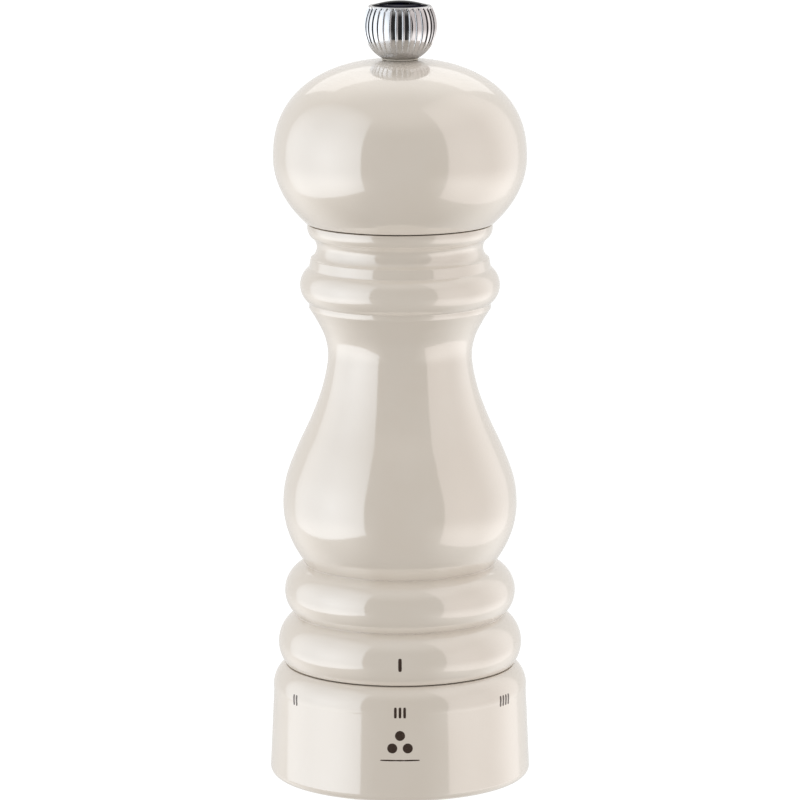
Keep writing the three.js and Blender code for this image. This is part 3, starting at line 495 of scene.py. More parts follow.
class Bench:
    """The node tree of one material, or of the studio's world, and the nodes that go into it."""

    def __init__(self, owner: bpy.types.Material | bpy.types.World) -> None:
        """Starts with an empty tree."""
        self.owner = owner
        owner.use_nodes = True
        self.tree = owner.node_tree
        self.tree.nodes.clear()
        self.coordinates = self.node("ShaderNodeTexCoord")
        self.place = self.coordinates.outputs["Object"]

    def node(self, kind: str, settings: dict | None = None, inputs: dict | None = None) -> bpy.types.Node:
        """Adds one node.

        Args:
            kind: its type.
            settings: properties that are set first.
            inputs: a value or a link for each input, by name or number.

        Returns:
            The new node.
        """
        made = self.tree.nodes.new(kind)
        for key, value in (settings or {}).items():
            setattr(made, key, value)
        for key, value in (inputs or {}).items():
            socket = made.inputs[key]
            if isinstance(value, Term):
                value = value.socket
            if isinstance(value, bpy.types.NodeSocket):
                self.tree.links.new(value, socket)
            else:
                socket.default_value = value
        return made

    def term(self, kind: str, settings: dict | None = None, inputs: dict | None = None) -> Term:
        """Adds a node and wraps its first output."""
        return Term(self, self.node(kind, settings, inputs).outputs[0])

    def noise(self, size: float, detail: float = 2.0, stretch: Color = (1, 1, 1),
              place: bpy.types.NodeSocket | None = None) -> Term:
        """Smooth noise from 0 to 1.

        Args:
            size: width of its features in mm.
            detail: octaves of finer noise on top.
            stretch: how many times longer it is along each axis.
            place: coordinates, or the object's own where left out.

        Returns:
            The noise as a term.
        """
        scale = tuple(1 / s for s in stretch)
        mapped = self.node("ShaderNodeMapping", None, {"Vector": place or self.place, "Scale": scale})
        inputs = {"Vector": mapped.outputs[0], "Scale": 1 / (size * MM), "Detail": detail}
        return self.term("ShaderNodeTexNoise", None, inputs)

    def round_axis(self) -> bpy.types.NodeSocket:
        """Coordinates that are the same all the way round Z: (distance from the axis, 0, height)."""
        flat = self.node("ShaderNodeVectorMath", {"operation": "MULTIPLY"}, {0: self.place, 1: (1, 1, 0)})
        radius = self.node("ShaderNodeVectorMath", {"operation": "LENGTH"}, {0: flat.outputs[0]})
        height = self.node("ShaderNodeSeparateXYZ", None, {0: self.place})
        inputs = {"X": radius.outputs["Value"], "Z": height.outputs["Z"]}
        return self.node("ShaderNodeCombineXYZ", None, inputs).outputs[0]

    def blend(self, factor: Term, low: Color | bpy.types.NodeSocket,
              high: Color | bpy.types.NodeSocket) -> bpy.types.NodeSocket:
        """A colour between two colours."""
        ends = [(*c, 1.0) if isinstance(c, tuple) else c for c in (low, high)]
        mixed = self.node("ShaderNodeMix", {"data_type": "RGBA"}, {0: factor, 6: ends[0], 7: ends[1]})
        return mixed.outputs[2]

    def bump(self, height: Term, depth: float, strength: float = 1.0) -> bpy.types.NodeSocket:
        """A normal from a height of 0 to 1 that stands for depth in mm."""
        inputs = {"Height": height, "Distance": depth * MM, "Strength": strength}
        return self.node("ShaderNodeBump", None, inputs).outputs[0]

    def finish(self, inputs: dict) -> bpy.types.Material:
        """Adds the Principled shader and the output, and gives the material."""
        shader = self.node("ShaderNodeBsdfPrincipled", None, inputs)
        self.node("ShaderNodeOutputMaterial", None, {"Surface": shader.outputs[0]})
        return self.owner


# ---------------------------------------------------------------- finishes

class Grain(Enum):
    """Which way the fine marks of a surface run."""

    TURNED = "round the axis"
    DRAWN = "along the axis"
    BLASTED = "no direction"


@dataclass(frozen=True)
class Finish:
    """A finish, named after the record's material slot that it stands for."""

    slot: str
    made: ClassVar[dict[str, bpy.types.Material]] = {}

    def shader(self, bench: Bench) -> bpy.types.Material:
        """Writes the finish's nodes. Each kind of finish has its own."""
        raise NotImplementedError

    def material(self) -> bpy.types.Material:
        """The material, made the first time that it is asked for."""
        key = repr(self)
        if key not in self.made:
            self.made[key] = self.shader(Bench(bpy.data.materials.new(self.slot)))
        return self.made[key]


@dataclass(frozen=True)
class Lacquer(Finish):
    """Ivory lacquer over beech, polished to a gloss. Bare wood shows where the attribute bare is 1."""

    tint: Color = (0.80, 0.735, 0.655)
    warm: Color = (0.785, 0.715, 0.63)
    beech: Color = (0.62, 0.43, 0.27)
    beech_dark: Color = (0.48, 0.30, 0.17)
    orange_peel: float = 2.2
    peel_depth: float = 0.0016

    def shader(self, bench: Bench) -> bpy.types.Material:
        """Cloudy ivory with a faint orange peel, and fibres and pores in the bare wood."""
        bare = bench.term("ShaderNodeAttribute", {"attribute_name": "bare"})
        bare = Term(bench, bare.socket.node.outputs["Fac"])
        cloud = bench.noise(14, 3).band(0.3, 0.7)
        paint = bench.blend(cloud, self.tint, self.warm)
        fibre = bench.noise(0.5, 4, (1, 1, 22))
        growth = bench.noise(2.4, 2, (1, 3, 26))
        wood = bench.blend((fibre * 0.5 + growth * 0.5).band(0.35, 0.65), self.beech_dark, self.beech)
        pores = bench.noise(0.18, 1, (1, 1, 9)).band(0.62, 0.74)
        wood = bench.blend(pores * 0.5, wood, self.beech_dark)
        peel = bench.noise(self.orange_peel, 2)
        dust = bench.noise(0.7, 1)
        relief = (peel * 0.9 + dust * 0.1) * (1 - bare) + (fibre - pores * 0.6) * bare * 12
        return bench.finish({
            "Base Color": bench.blend(bare, paint, wood),
            "Roughness": 0.34 + cloud * 0.03 + bare * 0.25,
            "Coat Weight": 1 - bare,
            "Coat Roughness": 0.085,
            "Coat IOR": 2.2,
            "Specular IOR Level": 0.35,
            "Normal": bench.bump(relief, self.peel_depth),
        })


@dataclass(frozen=True)
class Metal(Finish):
    """A metal with tool marks, slight stains and a worn sheen."""

    color: Color = (0.56, 0.57, 0.58)
    stain: Color = (0.44, 0.44, 0.44)
    roughness: float = 0.3
    grain: Grain = Grain.BLASTED
    depth: float = 0.004
    coat: float = 0.0
    edge: float = 1.0

    def marks(self, bench: Bench) -> Term:
        """Fine lines or pits from 0 to 1, which run as the grain says."""
        if self.grain is Grain.TURNED:
            return bench.noise(0.14, 2, place=bench.round_axis())
        if self.grain is Grain.DRAWN:
            return bench.noise(0.16, 2, (1, 1, 40))
        return bench.noise(0.22, 3)

    def shader(self, bench: Bench) -> bpy.types.Material:
        """Marks in the relief and the roughness, over broad faint stains."""
        marks = self.marks(bench)
        patches = bench.noise(5, 4).band(0.4, 0.72)
        smear = bench.noise(1.6, 3).band(0.35, 0.75)
        return bench.finish({
            "Base Color": bench.blend(patches * 0.6 + marks * 0.15, self.color, self.stain),
            "Metallic": 1.0,
            "Roughness": self.roughness * (0.75 + marks * 0.3 + smear * 0.3),
            "Specular Tint": (self.edge, self.edge, self.edge, 1.0),
            "Coat Weight": self.coat,
            "Coat Roughness": 0.12,
            "Normal": bench.bump(marks, self.depth),
        })


@dataclass(frozen=True)
class Chrome(Finish):
    """Mirror plating, with faint polishing waves and a few finger smears."""

    color: Color = (0.72, 0.72, 0.725)
    shade: Color = (0.64, 0.645, 0.655)
    edge: float = 0.7
    roughness: float = 0.045

    def shader(self, bench: Bench) -> bpy.types.Material:
        """Smears raise the roughness a little, and the waves are under a micron deep."""
        smear = bench.noise(3.2, 4).band(0.45, 0.8)
        wave = bench.noise(1.3, 2)
        return bench.finish({
            "Base Color": bench.blend(smear, self.color, self.shade),
            "Metallic": 1.0,
            "Roughness": self.roughness + smear * 0.05,
            "Specular Tint": (self.edge, self.edge, self.edge, 1.0),
            "Normal": bench.bump(wave, 0.0006),
        })


@dataclass(frozen=True)
class Plastic(Finish):
    """Moulded plastic with a fine spark-eroded skin and slight shading."""

    color: Color = (0.02, 0.02, 0.021)
    shade: Color = (0.032, 0.031, 0.03)
    roughness: float = 0.45
    depth: float = 0.006

    def shader(self, bench: Bench) -> bpy.types.Material:
        """Fine grain in the relief, and broad changes of gloss as moulded parts have."""
        skin_grain = bench.noise(0.12, 2)
        flow = bench.noise(6, 3).band(0.3, 0.7)
        return bench.finish({
            "Base Color": bench.blend(flow, self.color, self.shade),
            "Roughness": self.roughness + flow * 0.1 + skin_grain * 0.08,
            "Normal": bench.bump(skin_grain, self.depth),
        })


@dataclass(frozen=True)
class Ink(Finish):
    """Pad-printed ink, with a slightly broken edge and gloss."""

    color: Color = (0.052, 0.030, 0.020)
    thin: Color = (0.11, 0.068, 0.046)

    def shader(self, bench: Bench) -> bpy.types.Material:
        """Thin spots let a little more light through."""
        spots = bench.noise(0.16, 3).band(0.5, 0.75)
        return bench.finish({
            "Base Color": bench.blend(spots, self.color, self.thin),
            "Roughness": 0.35 + spots * 0.15,
            "Coat Weight": 0.6,
            "Coat Roughness": 0.05,
            "Normal": bench.bump(spots, 0.002),
        })


IVORY = Lacquer("ivory_lacquer")
CHROME = Chrome("chrome")
DARK_STEEL = Metal("dark_steel", (0.09, 0.09, 0.1), (0.06, 0.06, 0.065), 0.1, Grain.TURNED, 0.0012,
                   edge=0.25)
ZINC = Metal("steel", (0.60, 0.61, 0.63), (0.50, 0.50, 0.52), 0.28, Grain.BLASTED, 0.0015)
TURNED_STEEL = Metal("steel", (0.60, 0.60, 0.61), (0.46, 0.46, 0.46), 0.26, Grain.TURNED, 0.004)
DRAWN_STEEL = Metal("steel", (0.62, 0.62, 0.63), (0.55, 0.55, 0.55), 0.25, Grain.DRAWN, 0.0012)
BURR_STEEL = Metal("burr_steel", (0.25, 0.26, 0.28), (0.15, 0.14, 0.14), 0.38, Grain.BLASTED, 0.008, 0.3)
BRASS = Metal("brass", (0.72, 0.53, 0.24), (0.50, 0.34, 0.14), 0.25, Grain.TURNED, 0.004)
BLACK_PLASTIC = Plastic("black_plastic")
WHITE_PLASTIC = Plastic("white_plastic", (0.74, 0.70, 0.62), (0.69, 0.64, 0.56), 0.4)
INK = Ink("printed_ink")


def dress(piece: bpy.types.Object, finish: Finish, body: str, *nodes: str) -> None:
    """Gives a piece its finish and its slot, hides the CAD nodes it stands for and hangs it on the body it
    rides on.
    """
    piece.data.materials.clear()
    piece.data.materials.append(finish.material())
    if nodes:
        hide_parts(*nodes)
    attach(piece, body)
    log.info("%s: %d faces, %s, rides on %s", piece.name, len(piece.data.polygons), finish.slot, body)


def washer(name: str, node: str, bore: float, ease: float, sides: int, finish: Finish, body: str) -> None:
    """Turns and dresses a plain ring that fills a CAD node's room.

    Args:
        name: the piece's name.
        node: the CAD node that it stands for.
        bore: radius of its hole.
        ease: how far its edges are rounded.
        sides: columns round the axis.
        finish: its finish.
        body: the body that it rides on.
    """
    room = Room.of(node)
    dress(lathe(name, ring(bore, room.radius, room.low, room.high, ease), sides), finish, body, node)


# ---------------------------------------------------------------- body and head

@dataclass
class MillBody:
    """The turned wooden body and the plastic washer that the head turns on."""

    chamber: float = 13.3
    counterbore: float = 21.55
    overspray: float = 0.7
    counterbore_top: float = 35.85
    rebate: float = 17.7
    rebate_depth: float = 1.2
    foot: float = 26.6
    notch: float = 24.1
    notch_height: float = 11.45
    low_swell: float = 2.7
    shoulder: float = 21.95
    shoulder_height: float = 23.35
    high_swell: float = 3.6
    vase_top: float = 83.05
    vase: tuple[tuple[float, float], ...] = (
        (24.71, 27.95), (26.38, 32.43), (27.0, 37.44), (26.27, 43.47), (23.67, 50.46), (20.45, 57.44),
        (17.9, 64.43), (16.6, 71.23), (17.16, 75.95), (19.01, 79.95), (20.9, 83.05))
    neck: float = 20.9
    neck_step: float = 1.2
    neck_bead: float = 8.1
    neck_swell: float = 2.05
    cove: float = 20.5
    cove_step: float = 2.2
    cove_height: float = 5.0
    cove_swell: float = -1.4
    lip: float = 21.2
    lip_swell: float = 0.35
    crease: float = 0.28
    arris: float = 0.1
    slip_inner: float = 14.15
    room: Room = field(default_factory=lambda: Room.of("body"))

    def outline(self) -> Outline:
        """Two beads, a vase, a neck bead, a cove and a lip outside, and the bored chamber inside."""
        low, high = self.room.low, self.room.high
        bead_top = low + self.vase_top + self.neck_step + self.neck_bead
        cove_low = bead_top + self.cove_step
        outline = Outline(self.counterbore, low, 0.4, bare=1.0).painted()
        outline.to(self.counterbore + self.overspray, low)
        outline.to(self.foot, low, self.arris)
        outline.arc(self.notch, low + self.notch_height, self.low_swell, self.crease, 40)
        outline.arc(self.shoulder, low + self.shoulder_height, self.high_swell, self.crease, 40)
        outline.curve([(radius, low + height) for radius, height in self.vase], 140)
        outline.to(self.neck, low + self.vase_top + self.neck_step, self.crease)
        outline.arc(self.neck, bead_top, self.neck_swell, self.crease, 32)
        outline.to(self.cove, cove_low, self.crease)
        outline.arc(self.cove, cove_low + self.cove_height, self.cove_swell, self.crease)
        outline.arc(self.lip, high, self.lip_swell, self.arris, 10)
        outline.to(self.rebate, high, self.arris).inside()
        outline.to(self.rebate, high - self.rebate_depth, FINE)
        outline.to(self.chamber, high - self.rebate_depth, BROAD)
        outline.to(self.chamber, self.counterbore_top, BROAD)
        return outline.to(self.counterbore, self.counterbore_top, FINE)

    def build(self) -> None:
        """Turns the body and its washer."""
        dress(lathe("turned_body", self.outline(), 192), IVORY, "mill_body", "body")
        washer("slip_ring", "slip_washer", self.slip_inner, 0.25, 144, WHITE_PLASTIC, "mill_body")


@dataclass
class Screw:
    """A pan-head screw that points up, with a cross recess and a rolled thread."""

    radius: float = 1.1
    core: float = 0.82
    head: float = 1.8
    head_height: float = 1.4
    pitch: float = 0.95
    slot: float = 0.55
    slot_reach: float = 1.15
    slot_depth: float = 0.75
    slot_ease: float = 0.02
    head_flat: float = 0.55
    head_side: float = 0.62
    head_swell: float = 0.22
    taper: float = 1.6
    tip: float = 0.05
    run_out: tuple[float, float] = (0.4, 1.4)
    turn_rows: int = 8
    sides: int = 32

    def build(self, node: str, body: str) -> None:
        """Makes the screw in a CAD screw's place.

        The thread's radius is the core plus the crest times |2p - 1| squared, where p is winding()'s share.

        Args:
            node: the CAD screw that it stands for.
            body: the body that it rides on.
        """
        low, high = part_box(node)
        place = np.array([(low.x + high.x) / 2 / MM, (low.y + high.y) / 2 / MM, 0])
        bottom, top = low.z / MM, high.z / MM
        seat = bottom + self.head_height
        point = top - self.radius * self.taper
        outline = Outline(0, bottom).to(self.head * self.head_flat, bottom)
        outline.arc(self.head, bottom + self.head_height * self.head_side, self.head_swell, 0.05, 8)
        outline.to(self.head, seat, 0.12).to(self.core, seat, FINE)
        outline.to(self.core, point, steps=int((point - seat) / self.pitch * self.turn_rows))
        points, _ = outline.to(self.tip, top, 0.0, 12).to(0, top).rows()
        heights, angles = points[:, 1:], around(self.sides)
        crest = (self.radius - self.core) * np.abs(2 * winding(heights, self.pitch, angles) - 1) ** 2
        start, end = self.run_out
        fade = smooth(seat + start, seat + end, heights) * smooth(top, point, heights)
        piece = skin(f"pan_head_{node}", [turned(points, crest * fade, angles) + place])
        cuts = [place + beam(-self.slot_reach, self.slot_reach, self.slot, bottom - PAST,
                             bottom + self.slot_depth, angle, self.slot_ease)
                for angle in (math.pi / 4, -math.pi / 4)]
        dress(combine(piece, cuts, "DIFFERENCE"), ZINC, body, node)


@dataclass
class MillHead:
    """The turned wooden head, with the drive plate and its screws under its tenon."""

    below: float = 14.95
    low_axis: float = 22.95
    low_power: float = 1.93
    high_axis: float = 22.55
    high_power: float = 2.3
    crown: float = 5.2
    bore: float = 3.84
    tenon: float = 13.0
    tenon_length: float = 8.0
    pocket: float = 10.45
    pocket_depth: float = 2.05
    square_hole: float = 5.3
    screw_hole: float = 1.25
    screw_circle: float = 6.92
    room: Room = field(default_factory=lambda: Room.of("head"))

    def ball(self, rows_below: int = 40, rows_above: int = 90) -> Array:
        """The head's skin.

        Below its widest point it is the curve (r / R)^p + (h / A)^p = 1 with even steps of height, and
        above it the same curve with its own A and p, and with even steps of angle.

        Args:
            rows_below: rows under the widest point.
            rows_above: rows over it.

        Returns:
            Rows of (radius, height).
        """
        widest = self.room.radius
        rise = -self.below * (1 - np.arange(rows_below) / rows_below)
        low = widest * (1 - np.abs(rise / self.low_axis) ** self.low_power) ** (1 / self.low_power)
        radius = widest * np.cos(np.linspace(0, math.acos(self.crown / widest), rows_above))
        inner = 1 - (radius / widest) ** self.high_power
        top = self.high_axis * inner ** (1 / self.high_power)
        middle = self.seam + self.below
        return np.vstack([np.stack([low, middle + rise], 1), np.stack([radius, middle + top], 1)])

    @property
    def seam(self) -> float:
        """Height of the head's lower face."""
        return self.room.low + self.tenon_length

    def build(self) -> None:
        """Turns the head and fits the plate."""
        low = self.room.low
        outline = Outline(self.bore, low + self.pocket_depth, FINE, bare=1.0)
        outline.to(self.pocket, low + self.pocket_depth, FINE).to(self.pocket, low, SOFT)
        outline.to(self.tenon, low, 0.4).to(self.tenon, self.seam, FINE).painted()
        ball = self.ball()
        outline.to(*ball[0], 0.25).add(ball[1:], 0.15).to(self.bore, ball[-1, 1], SOFT)
        dress(lathe("turned_head", outline, 192), IVORY, "head", "head")
        plate_room = Room.of("drive_plate")
        rim = Outline(0, plate_room.low).to(plate_room.radius, plate_room.low, SOFT)
        rim.to(plate_room.radius, plate_room.high, SOFT).to(0, plate_room.high)
        piece = lathe("square_drive_plate", rim, 96)
        half = self.square_hole / 2
        low, high = plate_room.low - PAST, plate_room.high + PAST
        cuts = [beam(-half, half, self.square_hole, low, high, 0, 0.15)]
        cuts += [rod(self.screw_hole, low, high, (x, 0)) for x in (self.screw_circle, -self.screw_circle)]
        dress(combine(piece, cuts, "DIFFERENCE", 0.12), ZINC, "head", "drive_plate")
        for node in ("drive_plate_screw_1", "drive_plate_screw_2"):
            Screw().build(node, "head")


# ---------------------------------------------------------------- knob

@dataclass
class Knob:
    """The ribbed chrome knob with its dark disc, its brass thread and the washer under it."""

    ball: float = 8.45
    foot: float = 4.3
    ribs: int = 32
    rib_width: float = 0.38
    flute_depth: float = 0.33
    rim: float = 7.05
    flute_end: float = 0.55
    flute_power: float = 0.7
    flute_fade: tuple[float, float] = (0.02, 0.75)
    pocket_arch: float = 0.045
    pocket_fade: tuple[float, float] = (-0.03, 0.015)
    groove: float = 5.0
    groove_width: float = 0.16
    groove_depth: float = 0.1
    dome: float = 0.25
    recess: float = 6.35
    recess_depth: float = 0.9
    bore: float = 3.75
    cap: float = 1.4
    thread_root: float = 2.95
    thread_crest: float = 2.6
    pitch: float = 0.8
    washer_inner: float = 2.75
    skirt: float = 0.3
    near: float = 0.02
    columns: int = 20
    room: Room = field(default_factory=lambda: Room.of("knob"))

    def shell(self) -> bpy.types.Object:
        """The ball with its flutes.

        The outline is a circle from the foot to the rim. In a flute the radius is less by the depth times
        1 - (1 - (d / w)^2)^p, where d is the distance from the rib's middle and w its half width. Towards
        the foot the depth fades, and at the top each flute ends in a round pocket.

        Returns:
            The new object.
        """
        low, high = self.room.low, self.room.high
        middle = low + math.sqrt(self.ball**2 - self.foot**2)
        start = -math.acos(self.foot / self.ball)
        end = math.acos(self.rim / self.ball)
        latitude = np.linspace(start, end, 72)
        circle = np.stack([self.ball * np.cos(latitude), middle + self.ball * np.sin(latitude)], 1)
        floor = high - self.recess_depth
        outline = Outline(0, floor - self.cap).to(self.bore, floor - self.cap, FINE)
        outline.to(self.bore, low, 0.12).to(self.foot, low, 0.15).add(circle[1:], 0.25)
        outline.to(self.recess + 0.05, high, 0.18).to(self.recess, floor, 0.05)
        points, _ = outline.to(0, floor).rows()
        angles = around(self.ribs * self.columns)
        off = np.abs(2 * ((angles * self.ribs / TAU) % 1) - 1)
        flute = 1 - np.maximum(1 - (off / self.rib_width) ** 2, 0) ** self.flute_power
        radius, height = points[:, :1], points[:, 1:]
        slope = np.arctan2(height - middle, radius)
        arch = self.flute_end - self.pocket_arch * (1 - off) ** 2 / (1 - self.rib_width) ** 2
        first, last = self.flute_fade
        envelope = smooth(start + first, start + last, slope)
        envelope = envelope * (1 - smooth(*self.pocket_fade, slope - arch))
        on_ball = np.abs(np.hypot(radius, height - middle) - self.ball) < self.near
        relief = -self.flute_depth * flute * envelope * (on_ball & (radius > self.bore + self.skirt))
        return skin("ribbed_knob", [turned(points, relief, angles)])

    def medallion(self, sides: int = 128) -> bpy.types.Object:
        """The domed disc. Its groove is as deep as the curve exp(-((r - R) / w)^2) is high."""
        room = Room.of("knob_medallion")
        edge = room.low + self.recess_depth
        outline = Outline(0, room.low).to(room.radius, room.low, FINE)
        points, _ = outline.to(room.radius, edge, 0.15).arc(0, room.high, self.dome, 0, 40).rows()
        groove = np.exp(-(((points[:, 0] - self.groove) / self.groove_width) ** 2)) * (points[:, 1] > edge)
        points[:, 1] -= self.groove_depth * groove
        return skin("domed_disc", [turned(points, np.zeros((len(points), sides)), around(sides))])

    def insert(self, sides: int = 48) -> bpy.types.Object:
        """The brass sleeve. Its thread's crests stand in by |2p - 1|, where p is winding()'s share."""
        room = Room.of("knob_thread_insert")
        outline = Outline(room.radius, room.low, SOFT).to(room.radius, room.high, SOFT)
        outline.to(self.thread_root, room.high, FINE).to(self.thread_root, room.low, FINE, 110)
        points, _ = outline.rows()
        angles = around(sides)
        crest = np.abs(2 * winding(points[:, 1:], self.pitch, angles) - 1)
        inner = points[:, :1] < self.thread_root + self.near
        relief = -(self.thread_root - self.thread_crest) * crest * inner
        return skin("knob_insert", [turned(points, relief, angles)], loop=True)

    def build(self) -> None:
        """Makes the shell, the disc, the threaded insert and the washer."""
        dress(self.shell(), CHROME, "knob", "knob")
        dress(self.medallion(), DARK_STEEL, "knob", "knob_medallion")
        dress(self.insert(), BRASS, "knob", "knob_thread_insert")
        washer("knob_base_washer", "knob_washer", self.washer_inner, FINE, 96, WHITE_PLASTIC, "knob_washer")


# ---------------------------------------------------------------- drive train

@dataclass
class DriveTrain:
    """The square shaft, its clip and washer, and the spring that presses the rotor down."""

    side: float = 5.0
    corner: float = 3.4
    round: float = 2.45
    groove: float = 2.05
    chamfer: float = 0.4
    square_low: float = 13.35
    thread_buried: float = 2.5
    thread_top: float = 2.5
    thread_core: float = 2.12
    pitch: float = 0.8
    run_in: tuple[float, float] = (0.5, 1.0)
    step: float = 0.02
    crowding: float = 0.2
    columns: int = 96
    clip_radius: float = 4.75
    clip_mouth: float = 3.7
    clip_slack: float = 0.15
    ear_hole: float = 0.55
    ear_circle: float = 3.3
    ear_angles: tuple[float, float] = (125, 235)
    washer_bore: float = 3.69
    coil: float = 4.285
    wire: float = 0.4
    turns: float = 4.0
    closed_turns: float = 0.7
    closed_rise: float = 0.35

    def shaft(self) -> bpy.types.Object:
        """The shaft.

        A square row's radius is square_radius()'s. A round row's is even, and the thread's is its core plus
        the crest times 1 - |2p - 1|, where p is winding()'s share. Columns crowd at the square's corners.

        Returns:
            The new object.
        """
        room, clip = Room.of("drive_shaft"), Room.of("shaft_clip")
        square_high = Room.of("head").high - self.thread_buried
        low, high = clip.low - self.step, clip.high + self.step
        table = np.array([
            (room.low, 0, self.round - self.chamfer), (room.low + self.chamfer, 0, self.round),
            (self.square_low, 0, self.round), (self.square_low + self.step, 1, self.round),
            (low - self.step, 1, self.groove), (low, 0, self.groove), (high, 0, self.groove),
            (high + self.step, 1, self.groove), (square_high, 1, self.round),
            (square_high + self.chamfer, 0, self.thread_core)])
        thread = np.linspace(square_high + self.chamfer + self.step, room.high - self.chamfer, 180)
        rows = np.stack([thread, np.zeros_like(thread), np.full_like(thread, self.thread_core)], 1)
        table = np.vstack([table, rows, [(room.high, 0, self.thread_core - self.step)]])
        even = around(self.columns)
        angles = even + self.crowding * np.sin(4 * even)
        heights, square, plain = table[:, :1], table[:, 1:2], table[:, 2:]
        flats = square_radius(self.side, self.corner, angles)
        phase = winding(heights, self.pitch, angles)
        first, last = self.run_in
        threaded = smooth(square_high + first, square_high + last, heights)
        threaded = threaded * (heights < room.high - self.step)
        crest = (self.thread_top - self.thread_core) * (1 - np.abs(2 * phase - 1)) * threaded
        radius = square * flats + (1 - square) * plain + crest
        pole = np.zeros(self.columns)
        radius = np.vstack([pole, radius, pole])
        heights = np.vstack([heights[:1], heights, heights[-1:]])
        return skin("square_shaft", [wall(radius, heights, angles)])

    def spring(self) -> bpy.types.Object:
        """A coil of round wire: radius R at angle t, whose rise is slower in its closed end turns."""
        room = Room.of("rotor_spring")
        turn = np.linspace(0, self.turns, 160)
        closed = self.closed_turns * 2
        rise = np.cumsum(self.closed_rise + smooth(0, closed, turn)
                         * (1 - smooth(self.turns - closed, self.turns, turn)))
        rise = (rise - rise[0]) / (rise[-1] - rise[0])
        outward = direction(turn * TAU)
        upward = np.tile(UP, (len(turn), 1))
        centres = self.coil * outward
        centres[:, 2] = room.low + self.wire + rise * (room.high - room.low - 2 * self.wire)
        return skin("coil_spring", [carry(centres, outward, upward, disc(self.wire, 14))])

    def build(self) -> None:
        """Makes the shaft and what sits on it."""
        dress(self.shaft(), DRAWN_STEEL, "drive_shaft", "drive_shaft")
        clip = Room.of("shaft_clip")
        eyelet = ring(self.groove + self.clip_slack, self.clip_radius, clip.low, clip.high, 0.12)
        low, high = clip.low - PAST, clip.high + PAST
        cuts = [beam(self.groove / 2, self.clip_radius + PAST, self.clip_mouth, low, high, 0, BROAD)]
        cuts += [rod(self.ear_hole, low, high, spot(self.ear_circle, angle), 20)
                 for angle in self.ear_angles]
        piece = combine(lathe("open_clip", eyelet, 64), cuts, "DIFFERENCE", 0.06)
        dress(piece, BURR_STEEL, "drive_shaft", "shaft_clip")
        washer("spring_seat", "spring_washer", self.washer_bore, 0.12, 72, TURNED_STEEL, "drive_shaft")
        spring = self.spring()
        spring.data.materials.append(TURNED_STEEL.material())
        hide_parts("rotor_spring")
        low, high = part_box("rotor_spring")
        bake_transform(spring)
        log.info("%s: bends between the shaft and the rotor", spring.name)


# ---------------------------------------------------------------- burrs and bridge

def teeth(angles: Array, count: Array | float, twist: Array | float) -> Array:
    """Tooth height from 0 in a valley to 1 on a crest: 1 - |2p - 1|, where p is the phase of each tooth."""
    phase = (count * (angles - twist) / TAU) % 1
    return 1 - np.abs(2 * phase - 1)


